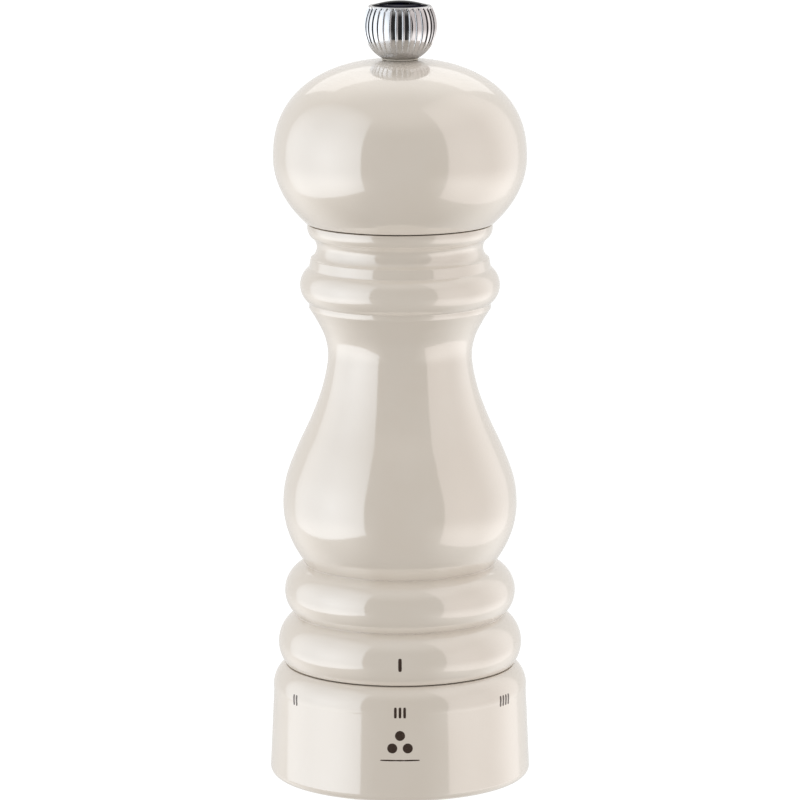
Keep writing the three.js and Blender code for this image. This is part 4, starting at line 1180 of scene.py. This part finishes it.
@dataclass
class Burrs:
    """The rotor and stator that grind, and the bridge that centres the shaft over them."""

    rotor_foot: float = 10.75
    rotor_neck: float = 7.59
    rotor_land: float = 0.9
    grind_height: float = 7.2
    step: float = 0.4
    blade: float = 7.49
    core: float = 5.89
    tooth: float = 0.8
    tooth_count: int = 24
    tooth_power: float = 0.8
    blade_count: int = 6
    blade_power: float = 1.3
    tooth_twist: float = math.pi / 12
    blade_twist: float = math.pi * 0.42
    pocket: float = 5.04
    pocket_depth: float = 4.0
    square_hole: float = 5.3
    square_corner: float = 3.66
    stator_outer: float = 13.55
    stator_flange: float = 17.45
    flange_low: float = 28.8
    mouth: float = 12.05
    stator_low: float = 12.05
    throat: float = 8.69
    throat_height: tuple[float, float] = (6.0, 7.0)
    mouth_height: float = 9.1
    chamfer: float = 0.25
    top_chamfer: float = 0.3
    chamfer_rise: tuple[float, float] = (0.3, 0.35)
    mouth_chamfer: tuple[float, float] = (0.6, 0.45)
    pocket_chamfer: float = 0.15
    edge_rise: float = 0.2
    bridge_plate: float = 1.6
    bridge_rim: float = 12.7
    hub_wall: float = 1.25
    arm_out: float = 13.6
    arm_width: float = 3.0
    arm_angles: tuple[float, ...] = (30, 150, 270)
    arm_root: float = 0.8
    arm_sink: float = 0.01
    screw_hole: float = 1.3
    screw_circle: float = 15.5
    screw_angles: tuple[float, ...] = (90, 210, 330)
    bush_bore: float = 3.84
    bush_gap: float = 0.1
    columns: int = 288

    def rotor(self) -> bpy.types.Object:
        """The inner burr.

        Each row's radius is its crest less its depth times 1 - tooth height. Crest, depth and twist run in
        straight lines between the foot, the neck and the top, with fine teeth below the neck and spiral
        blades above it. The bore is square, under a round spring pocket.

        Returns:
            The new object.
        """
        room = Room.of("rotor")
        height = room.high - room.low
        neck = self.grind_height
        angles = around(self.columns)
        rise = np.append(np.linspace(0, neck, 40), np.linspace(neck + self.step, height, 44))[:, None]
        knots = [0, self.rotor_land, neck, neck + self.step, height]
        crest = np.interp(rise, knots, [*[self.rotor_foot] * 2, *[self.rotor_neck] * 2, self.blade])
        blade_depth = self.blade - self.core
        depth = np.interp(rise, knots, [*[self.tooth] * 2, self.tooth / 2, self.tooth, blade_depth])
        twist = np.interp(rise, knots, [0, 0, *[self.tooth_twist] * 2, self.tooth_twist + self.blade_twist])
        fine = teeth(angles, self.tooth_count, twist) ** self.tooth_power
        blades = teeth(angles, self.blade_count, twist) ** self.blade_power
        chamfer = self.chamfer * (1 - smooth(0, self.chamfer_rise[0], rise))
        chamfer = chamfer + self.top_chamfer * smooth(height - self.chamfer_rise[1], height, rise)
        outer = crest - depth * (1 - np.where(rise <= neck, fine, blades)) - chamfer
        bore = square_radius(self.square_hole, self.square_corner, angles)
        floor = height - self.pocket_depth
        pocket = np.full_like(angles, self.pocket)
        inner = np.stack([pocket, pocket, pocket - self.pocket_chamfer, bore, bore])
        levels = np.array([height, floor + self.pocket_chamfer, floor, floor, 0])[:, None]
        heights = np.vstack([rise, levels]) + room.low
        return skin("toothed_rotor", [wall(np.vstack([outer, inner]), heights, angles)], loop=True)

    def stator(self) -> bpy.types.Object:
        """The outer burr: a plain flanged outside, and teeth inside that lean against the rotor's."""
        room = Room.of("stator")
        height = room.high - room.low
        angles = around(self.columns)
        low, high = self.mouth_chamfer
        outline = Outline(self.stator_low + low, room.low, FINE).to(self.stator_outer, room.low, 0.25)
        outline.to(self.stator_outer, self.flange_low, 0.15).to(self.stator_flange, self.flange_low, 0.25)
        outline.to(self.stator_flange, room.high, 0.25).to(self.mouth + high, room.high, 0)
        points, _ = outline.rows()
        rise = np.linspace(height - self.edge_rise, self.edge_rise, 66)[:, None]
        knots = [0, self.rotor_land, *self.throat_height, self.mouth_height, height]
        foot = self.stator_low + self.chamfer
        crest = np.interp(rise, knots, [foot, self.stator_low, *[self.throat] * 2, *[self.mouth] * 2])
        depth = np.interp(rise, knots, [*[self.tooth] * 2, *[self.tooth / 2] * 2, *[self.tooth] * 2])
        twist = np.interp(rise, knots, [0, 0, *[-self.tooth_twist] * 3, -2 * self.tooth_twist])
        inner = crest - depth * teeth(angles, self.tooth_count, twist)
        heights = np.concatenate([points[:, 1:], rise + room.low])
        radius = np.concatenate([np.repeat(points[:, :1], self.columns, 1), inner])
        return skin("toothed_stator", [wall(radius, heights, angles)], loop=True)

    def bridge(self) -> bpy.types.Object:
        """A rim and a hub joined by three arms, pressed from steel plate."""
        room, bush = Room.of("bridge"), Room.of("bridge_bush")
        top = room.low + self.bridge_plate
        piece = lathe("three_arm_bridge", ring(self.bridge_rim, room.radius, room.low, top, SOFT), 128)
        hub = bush.radius + self.hub_wall
        arms = [beam(hub - self.arm_root, self.arm_out, self.arm_width, room.low + self.arm_sink,
                     top - self.arm_sink, math.radians(angle)) for angle in self.arm_angles]
        combine(piece, [rod(hub, room.low, room.high, sides=96), *arms], "UNION")
        low, high = room.low - PAST, room.high + PAST
        holes = [rod(self.screw_hole, low, high, spot(self.screw_circle, angle))
                 for angle in self.screw_angles]
        bore = rod(bush.radius + self.bush_gap, low, high, sides=96)
        return combine(piece, [bore, *holes], "DIFFERENCE", 0.14)

    def build(self) -> None:
        """Cuts both burrs and makes the bridge, its bush and the long screws."""
        dress(self.rotor(), BURR_STEEL, "rotor", "rotor")
        dress(self.stator(), BURR_STEEL, "mill_body", "stator")
        dress(self.bridge(), ZINC, "mill_body", "bridge")
        washer("brass_bush", "bridge_bush", self.bush_bore, SOFT, 72, BRASS, "mill_body")
        for number in (1, 2, 3):
            Screw().build(f"mechanism_screw_{number}", "mill_body")


# ---------------------------------------------------------------- housing and adjuster

@dataclass
class Mechanism:
    """The housing that the ring turns on, the adjuster in it, and the circlip and click spring on it."""

    bore: float = 17.6
    skirt: float = 19.9
    flange_bore: float = 13.45
    flange_low: float = 32.9
    head_low: float = 26.6
    groove: float = 18.9
    groove_low: float = 4.35
    groove_high: float = 5.65
    stop: tuple[float, float] = (14.4, 16.8)
    stop_out: float = 21.0
    stop_half: float = math.radians(32)
    slot_top: float = 12.9
    slot_width: float = 6.2
    screw_circle: float = 15.5
    lug_angles: tuple[float, ...] = (-90, 30, 150)
    screw_angles: tuple[float, ...] = (90, 210, 330)
    arms: tuple[float, float] = (7.9, 11.5)
    rim_inner: float = 15.1
    rim_outer: float = 17.3
    hub: float = 6.8
    shaft_bore: float = 2.75
    spoke: float = 3.4
    lug: float = 5.6
    lug_out: float = 19.75
    tooth_out: float = 20.75
    tooth_half: float = 0.37
    root: float = 0.6
    spoke_end: float = 1.1
    spoke_sink: float = 0.02
    tooth_root: float = 1.0
    screw_hole: float = 1.25
    thrust_bore: float = 3.84
    leaf: float = 0.4
    leaf_rest: float = 20.2
    leaf_tip: float = 21.8
    leaf_half: float = 24.0
    nose_half: float = 5.0
    nose_round: float = 0.85
    circlip_gap: float = math.asin(3.0 / 20.5)
    circlip_slack: float = 0.15
    rivet_angle: float = math.radians(70)
    rivet_root: float = 1.2
    rivet: tuple[tuple[float, float], ...] = (
        (20.62, 0.42), (20.63, 0.475), (21.2, 0.475), (21.34, 0.38), (21.4, 0.2))

    def housing(self) -> bpy.types.Object:
        """A moulded skirt with a stepped head, a stop block, three lug slots and three screw holes."""
        room = Room.of("mechanism_housing")
        outline = Outline(self.bore, room.low, BROAD).to(self.skirt, room.low, BROAD)
        outline.to(self.skirt, self.groove_low, 0.08).to(self.groove, self.groove_low, 0.05)
        outline.to(self.groove, self.groove_high, 0.05).to(self.skirt, self.groove_high, 0.08)
        outline.to(self.skirt, self.head_low, BROAD).to(room.radius, self.head_low, BROAD)
        outline.to(room.radius, room.high, 0.5).to(self.flange_bore, room.high, BROAD)
        outline.to(self.flange_bore, self.flange_low, BROAD).to(self.bore, self.flange_low, 0.5)
        piece = lathe("moulded_housing", outline, 128)
        angles = np.linspace(FRONT - self.stop_half, FRONT + self.stop_half, 24)
        low, high = self.stop
        block = strip((self.skirt - self.root + self.stop_out) / 2, angles, (low + high) / 2,
                      self.stop_out - self.skirt + self.root, high - low, 0.15)
        combine(piece, [block], "UNION")
        slots = [beam(self.bore - PAST, room.radius + PAST, self.slot_width, room.low - 2 * PAST,
                      self.slot_top, math.radians(angle), 0.5) for angle in self.lug_angles]
        holes = [rod(self.screw_hole, self.flange_low - PAST, room.high + PAST,
                     spot(self.screw_circle, angle)) for angle in self.screw_angles]
        return combine(piece, slots + holes, "DIFFERENCE", FINE)

    def adjuster(self) -> bpy.types.Object:
        """A rim and a hub on three spokes, with a lug and a thread tooth at the end of each."""
        room = Room.of("adjuster")
        low, high = self.arms
        piece = lathe("keyed_adjuster", ring(self.rim_inner, self.rim_outer, low, high, BROAD), 128)
        grids = [rod(self.hub, room.low, room.high, sides=96)]
        half = math.asin(self.lug / 2 / self.skirt)
        span = np.linspace(-half, half, 12)
        joint = self.rim_inner + self.spoke_end
        bars = [(self.shaft_bore, joint, self.spoke), (joint, self.lug_out, self.lug)]
        for angle in map(math.radians, self.lug_angles):
            grids += [beam(*bar, low + self.spoke_sink, high - self.spoke_sink, angle, BROAD)
                      for bar in bars]
            share = ((angle - FRONT) / TAU + 0.5) % 1 - 0.5
            grids.append(strip((self.lug_out - self.tooth_root + self.tooth_out) / 2, angle + span,
                               (low + high) / 2 - LEAD * (share + span / TAU),
                               self.tooth_out - self.lug_out + self.tooth_root, 2 * self.tooth_half, SOFT))
        combine(piece, grids, "UNION")
        bore = rod(self.shaft_bore, room.low - PAST, room.high + PAST, sides=64)
        return combine(piece, [bore], "DIFFERENCE", 0.12)

    def click_spring(self) -> bpy.types.Object:
        """The leaf that drops into the notches.

        It is bent to the skirt. In its middle it rises in a nose with straight sides, where x runs from 0 at
        the nose's foot to 1 at its middle. Past x = s the nose is rounded, and its height there is
        s + (1 - s) / 2 times 1 - ((1 - x) / (1 - s))^2.

        Returns:
            The new object.
        """
        room = Room.of("click_spring")
        degrees = np.linspace(-self.leaf_half, self.leaf_half, 90)
        share = np.clip(1 - np.abs(degrees) / self.nose_half, 0, 1)
        rest = 1 - self.nose_round
        top = self.nose_round + rest / 2 * (1 - ((1 - share) / rest) ** 2)
        nose = np.where(share > self.nose_round, top, share)
        radii = self.leaf_rest + self.leaf / 2 + (self.leaf_tip - self.leaf_rest) * nose
        grid = strip(radii, math.pi / 2 + np.radians(degrees), (room.low + room.high) / 2, self.leaf,
                     room.high - room.low, 0.12)
        return skin("click_leaf", [grid])

    def circlip(self) -> bpy.types.Object:
        """A flat ring with a gap at the back, in the skirt's groove."""
        room = Room.of("retaining_circlip")
        inner = self.groove + self.circlip_slack
        start = math.pi / 2 + self.circlip_gap
        angles = np.linspace(start, math.pi / 2 + TAU - self.circlip_gap, 160)
        grid = strip((inner + room.radius) / 2, angles, (room.low + room.high) / 2, room.radius - inner,
                     room.high - room.low, 0.15)
        return skin("open_circlip", [grid])

    def leaf_rivet(self) -> bpy.types.Object:
        """A pin that points out from the skirt: circles at the distances and radii in its table."""
        low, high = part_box("click_spring_rivet")
        start = self.skirt - self.rivet_root
        reach, girth = np.array([(start, self.rivet[0][1]), *self.rivet]).T
        out, side = direction(np.array([self.rivet_angle, self.rivet_angle + math.pi / 2]))
        centres = out * reach[:, None] + np.array([0, 0, (low.z + high.z) / 2 / MM])
        circle = disc(1.0, 24)
        spokes = side * circle[:, :1] + np.array(UP) * circle[:, 1:]
        grid = centres[:, None] + girth[:, None, None] * spokes
        first, last = (np.repeat(centre[None, None], 24, axis=1) for centre in (centres[0], centres[-1]))
        return skin("leaf_rivet", [np.concatenate([first, grid, last])])

    def build(self) -> None:
        """Moulds the housing and the adjuster, and makes the metal pieces on them."""
        dress(self.housing(), BLACK_PLASTIC, "mill_body", "mechanism_housing")
        dress(self.adjuster(), BLACK_PLASTIC, "adjuster", "adjuster")
        washer("thrust_ring", "thrust_washer", self.thrust_bore, 0.15, 96, BRASS, "adjuster")
        dress(self.circlip(), ZINC, "mill_body", "retaining_circlip")
        dress(self.click_spring(), ZINC, "mill_body", "click_spring")
        dress(self.leaf_rivet(), BRASS, "mill_body", "click_spring_rivet")


# ---------------------------------------------------------------- printed marks

@dataclass
class Marks:
    """Printed marks.

    One index bar stands on the body, and the settings I to VI round the grind ring. Under the third is an
    emblem, three peppercorns over a thin rule.
    """

    index_width: float = 0.82
    index_height: float = 3.0
    index_middle: float = 31.7
    bar_width: float = 0.62
    bar_height: float = 2.5
    bar_pitch: float = 1.05
    bar_middle: float = 20.9
    rest_setting: int = 3
    settings: int = 6
    rise: float = 0.012
    sink: float = 0.15
    corns: tuple[tuple[float, float], ...] = ((0.0, 15.6), (-1.75, 12.7), (1.75, 12.7))
    corn_size: float = 2.3
    rule: tuple[float, float] = (9.0, 0.34)
    rule_middle: float = 9.9

    def bar(self, surface: Outline, angle: float, middle: float, width: float, height: float,
            corner: float = 5.0) -> Array:
        """One thin bar that lies on a turned surface.

        Its edge is the curve |x|^n + |y|^n = 1, and its front follows the surface's radius at each height.

        Args:
            surface: the outline that it lies on.
            angle: where its middle is round the axis.
            middle: its middle height.
            width: its size round the axis.
            height: its size along the axis.
            corner: the power n. It is 2 for a round dot, and more for squarer corners.

        Returns:
            A grid for skin().
        """
        ways = direction(around(40))[:, :2]
        x, y = (np.sign(ways) * np.abs(ways) ** (2 / corner) * (width, height) / 2).T
        share = np.array([0, 1, 1, 0.97, 0.8, 0.6, 0.4, 0.2, 0])[:, None]
        lift = np.array([-self.sink, -self.sink, 0, *[self.rise] * 6])[:, None]
        heights = middle + share * y
        radius = surface.radius_at(heights)
        grid = (radius + lift)[..., None] * direction(angle + share * x / radius)
        grid[..., 2] = heights
        return grid

    def build(self, body: Outline, grind_ring: Outline) -> None:
        """Prints the index on the body, and each setting and the emblem on the ring."""
        index = self.bar(body, FRONT, self.index_middle, self.index_width, self.index_height)
        dress(skin("index_mark", [index]), INK, "mill_body")
        radius = float(grind_ring.radius_at(np.array([self.bar_middle]))[0])
        for setting in range(1, self.settings + 1):
            centre = FRONT - (self.rest_setting - setting) * math.radians(STEP_TURN)
            offsets = (np.arange(setting) - (setting - 1) / 2) * self.bar_pitch / radius
            bars = [self.bar(grind_ring, centre + offset, self.bar_middle, self.bar_width, self.bar_height)
                    for offset in offsets]
            dress(skin(f"setting_{setting}_mark", bars), INK, "grind_ring")
        grids = [self.bar(grind_ring, FRONT + across / radius, height, self.corn_size, self.corn_size, 2.0)
                 for across, height in self.corns]
        grids.append(self.bar(grind_ring, FRONT, self.rule_middle, *self.rule))
        dress(skin("peppercorn_emblem", grids), INK, "grind_ring")


# ---------------------------------------------------------------- grind ring

@dataclass
class GrindRing:
    """The wooden foot ring and the plastic insert that carries its thread, stop and notches."""

    bore: float = 23.75
    overspray: float = 0.7
    foot_round: float = 1.8
    taper: float = 0.85
    shoulder_height: float = 6.1
    shoulder_swell: float = 0.95
    shoulder_top: float = 26.6
    lip: float = 20.2
    lip_gap: float = 0.05
    click_bore: float = 21.7
    thread_root: float = 20.95
    thread_crest: float = 20.2
    thread_top: float = 14.1
    stop_top: float = 17.1
    groove_height: float = 9.7
    ridge: float = 0.21
    ridge_crest: float = 0.126
    notch: float = 1.0
    first_notch: float = -20.0
    stop_from: float = -252.0
    stop_to: float = -233.0
    near: float = 0.05
    margin: float = 0.3
    columns: int = 360
    room: Room = field(default_factory=lambda: Room.of("grind_ring"))

    def outline(self) -> Outline:
        """A foot rounded below, a slight taper and a rolled shoulder."""
        low, high, foot = self.room.low, self.room.high, self.room.radius
        outline = Outline(self.bore, low, BROAD, bare=1.0).painted()
        outline.to(self.bore + self.overspray, low)
        outline.to(foot - self.foot_round, low, SOFT)
        outline.arc(foot, low + self.foot_round, self.foot_round * (1 - math.sqrt(0.5)), 0, 12)
        outline.to(foot - self.taper, high - self.shoulder_height)
        outline.arc(self.shoulder_top, high, self.shoulder_swell, self.foot_round / 9, 28)
        outline.to(self.lip, high, BROAD).inside()
        lip_low = Room.of("ring_insert").high + self.lip_gap
        return outline.to(self.lip, lip_low, SOFT).to(self.bore, lip_low, FINE)

    def insert(self) -> bpy.types.Object:
        """The sleeve.

        Its bore's radius is the root less the ridge's height. The phase of a point is its height over the
        lead plus its share of a turn, and the ridge stands where the phase is near a half. Above are the
        stop rib and six V notches, one for each setting.

        Returns:
            The new object.
        """
        sleeve = Room.of("ring_insert")
        outline = Outline(self.thread_root, sleeve.low, SOFT).to(sleeve.radius, sleeve.low, BROAD)
        outline.to(sleeve.radius, sleeve.high, BROAD).to(self.click_bore, sleeve.high, 0.15)
        outline.to(self.click_bore, self.stop_top, 0, 20).to(self.click_bore, self.thread_top, 0, 14)
        outline.to(self.thread_root, self.thread_top, 0.0)
        points, _ = outline.to(self.thread_root, sleeve.low, SOFT, 70).rows()
        angles = around(self.columns)
        radius, height = points[:, :1], points[:, 1:]
        bore = radius < self.click_bore + self.near
        threaded = bore & (height < self.thread_top - self.margin) & (height > sleeve.low + self.margin)
        phase = ((height - self.groove_height) / LEAD + (angles - FRONT) / TAU) % 1
        ridge = np.clip((self.ridge - np.abs(phase - 0.5)) / (self.ridge - self.ridge_crest), 0, 1)
        relief = -(self.thread_root - self.thread_crest) * ridge * threaded
        degrees = np.degrees(angles)
        middle = (self.stop_from + self.stop_to) / 2
        off = np.abs((degrees - middle + 180) % 360 - 180)
        rib = (off < (self.stop_to - self.stop_from) / 2) * (height > self.thread_top + self.margin)
        rib = rib * (height < self.stop_top - self.margin) * bore
        relief -= (self.click_bore - self.thread_crest - self.near) * rib
        half = STEP_TURN / 2
        past = (degrees - self.first_notch + half) % 360 - half
        nearest = np.clip(np.round(past / STEP_TURN), 0, 5) * STEP_TURN
        reach = np.radians(np.abs(past - nearest)) * self.click_bore
        relief += np.clip(self.notch - reach, 0, None) * (height > self.stop_top - 0.01) * bore
        return skin("threaded_insert", [turned(points, relief, angles)], loop=True)

    def build(self) -> None:
        """Turns the ring and moulds its insert."""
        dress(lathe("turned_grind_ring", self.outline(), 192), IVORY, "grind_ring", "grind_ring")
        dress(self.insert(), BLACK_PLASTIC, "grind_ring", "ring_insert")


# ---------------------------------------------------------------- studio

@dataclass
class Panel:
    """A soft light: an upright or tilted rectangle that faces the mill."""

    name: str
    middle: tuple[float, float, float]
    width: float
    height: float
    radiance: float
    color: Color
    aim: tuple[float, float, float]
    spread: float = 180.0

    def build(self) -> None:
        """Hangs the light. An area light's power is its radiance times its area times pi."""
        data = bpy.data.lights.new(self.name, "AREA")
        data.shape = "RECTANGLE"
        data.size = self.width
        data.size_y = self.height
        data.spread = math.radians(self.spread)
        data.energy = self.radiance * self.width * self.height * math.pi
        data.color = self.color
        lamp = bpy.data.objects.new(self.name, data)
        bpy.context.scene.collection.objects.link(lamp)
        back = np.array(self.middle) - np.array(self.aim)
        back /= np.linalg.norm(back)
        across = np.cross(UP, back)
        across /= np.linalg.norm(across)
        place = np.eye(4)
        place[:3] = np.stack([across, np.cross(back, across), back, self.middle], axis=1)
        lamp.matrix_world = Matrix(place.tolist())
        lamp.visible_camera = False
        lamp.visible_diffuse = False


@dataclass
class Studio:
    """A pale floor, soft panels on both sides and behind, and the camera."""

    camera_distance: float = 1.1
    camera_height: float = 0.284
    camera_pitch: float = 79.89
    lens: float = 218.1
    floor_size: float = 40.0
    floor_sides: int = 96
    floor_drop: float = 0.02
    panels: tuple[Panel, ...] = (
        Panel("left_softbox", (-0.331, -0.01, 0.33), 0.66, 0.9, 0.9, (0.87, 0.93, 1.0),
              (0.0, 0.11, 0.33), 125.0),
        Panel("right_softbox", (0.331, 0.098, 0.425), 0.7, 1.15, 0.56, (1.0, 0.9, 0.88),
              (0.0, 0.218, 0.425), 150.0),
        Panel("top_softbox", (0.0, 0.72, 0.74), 1.0, 0.5, 0.6, (1.0, 1.0, 1.0), (0.0, 0.0, 0.16)),
    )
    ambient: float = 0.87
    backdrop: float = 1.0
    wall: float = 0.9
    room_front: float = 0.03
    room_back: tuple[float, float] = (-0.1, 0.7)
    room_top: float = 0.5
    room_floor: float = 0.8
    floor_front: float = 0.03
    top_edge: tuple[float, float] = (0.5, 0.95)
    low_edge: tuple[float, float] = (-0.5, -0.08)
    side_edge: tuple[float, float] = (0.28, 0.9)
    warmth: Color = (1, 0.985, 0.965)

    def floor(self) -> None:
        """A round pale floor that reaches past the horizon of every view."""
        reach = np.array([0.0, 0.25, 1.0, 4.0, self.floor_size])[:, None, None] / MM
        grid = reach * direction(around(self.floor_sides))
        grid[..., 2] = -self.floor_drop
        piece = skin("studio_floor", [grid])
        bench = Bench(bpy.data.materials.new("pale_paper"))
        fleck = bench.noise(6, 3).band(0.3, 0.7)
        piece.data.materials.append(bench.finish({
            "Base Color": bench.blend(fleck, (0.12, 0.12, 0.12), (0.11, 0.11, 0.11)),
            "Roughness": 0.9,
            "Specular IOR Level": 0.1,
            "Emission Color": bench.blend(fleck, (1.0, 1.0, 1.0), (0.995, 0.995, 0.995)),
            "Emission Strength": 1.0,
        }))
        piece.visible_glossy = False
        piece.visible_diffuse = False

    def world(self) -> None:
        """The room.

        It is white past the floor. Its diffuse light is even from all sides. In reflections it is dark in
        front of the mill, white behind it and grey above. Below, it is paler to the sides and behind.
        """
        world = bpy.data.worlds.new("studio_room")
        bench = Bench(world)
        ray = bench.node("ShaderNodeLightPath")
        seen = Term(bench, ray.outputs["Is Camera Ray"])
        glossy = Term(bench, ray.outputs["Is Glossy Ray"])
        way = bench.node("ShaderNodeSeparateXYZ", None, {0: bench.coordinates.outputs["Generated"]})
        behind = Term(bench, way.outputs["Y"]).band(*self.room_back)
        above = Term(bench, way.outputs["Z"]).band(*self.top_edge)
        below = 1 - Term(bench, way.outputs["Z"]).band(*self.low_edge)
        sideways = Term(bench, way.outputs["X"])
        beside = sideways.math("ABSOLUTE", sideways).band(*self.side_edge)
        ground = self.floor_front + (beside + behind) * self.room_floor
        mirrored = self.room_front + behind * (self.wall - self.room_front) + above * self.room_top
        mirrored = mirrored * (1 - below) + below * ground
        plain = glossy * mirrored + (1 - glossy) * self.ambient
        strength = seen * self.backdrop + (1 - seen) * plain
        inputs = {"Color": (*self.warmth, 1), "Strength": strength}
        light = bench.node("ShaderNodeBackground", None, inputs)
        bench.node("ShaderNodeOutputWorld", None, {"Surface": light.outputs[0]})
        bpy.context.scene.world = world

    def camera(self) -> None:
        """A long lens in front of the mill, tipped down a little."""
        data = bpy.data.cameras.new("studio_camera")
        data.lens = self.lens
        data.sensor_width = 36.0
        data.clip_end = 100.0
        camera = bpy.data.objects.new("studio_camera", data)
        camera.location = (0.0, -self.camera_distance, self.camera_height)
        camera.rotation_euler = (math.radians(self.camera_pitch), 0.0, 0.0)
        bpy.context.scene.collection.objects.link(camera)
        bpy.context.scene.camera = camera

    def build(self) -> None:
        """Sets the studio up."""
        self.camera()
        self.world()
        self.floor()
        for panel in self.panels:
            panel.build()
        bpy.context.scene.view_settings.view_transform = "Standard"
        log.info("studio: %d panels", len(self.panels))


def main() -> None:
    Studio().build()
    body = MillBody()
    body.build()
    MillHead().build()
    Knob().build()
    DriveTrain().build()
    Burrs().build()
    Mechanism().build()
    grind_ring = GrindRing()
    grind_ring.build()
    Marks().build(body.outline(), grind_ring.outline())


if __name__ == "__main__":
    main()
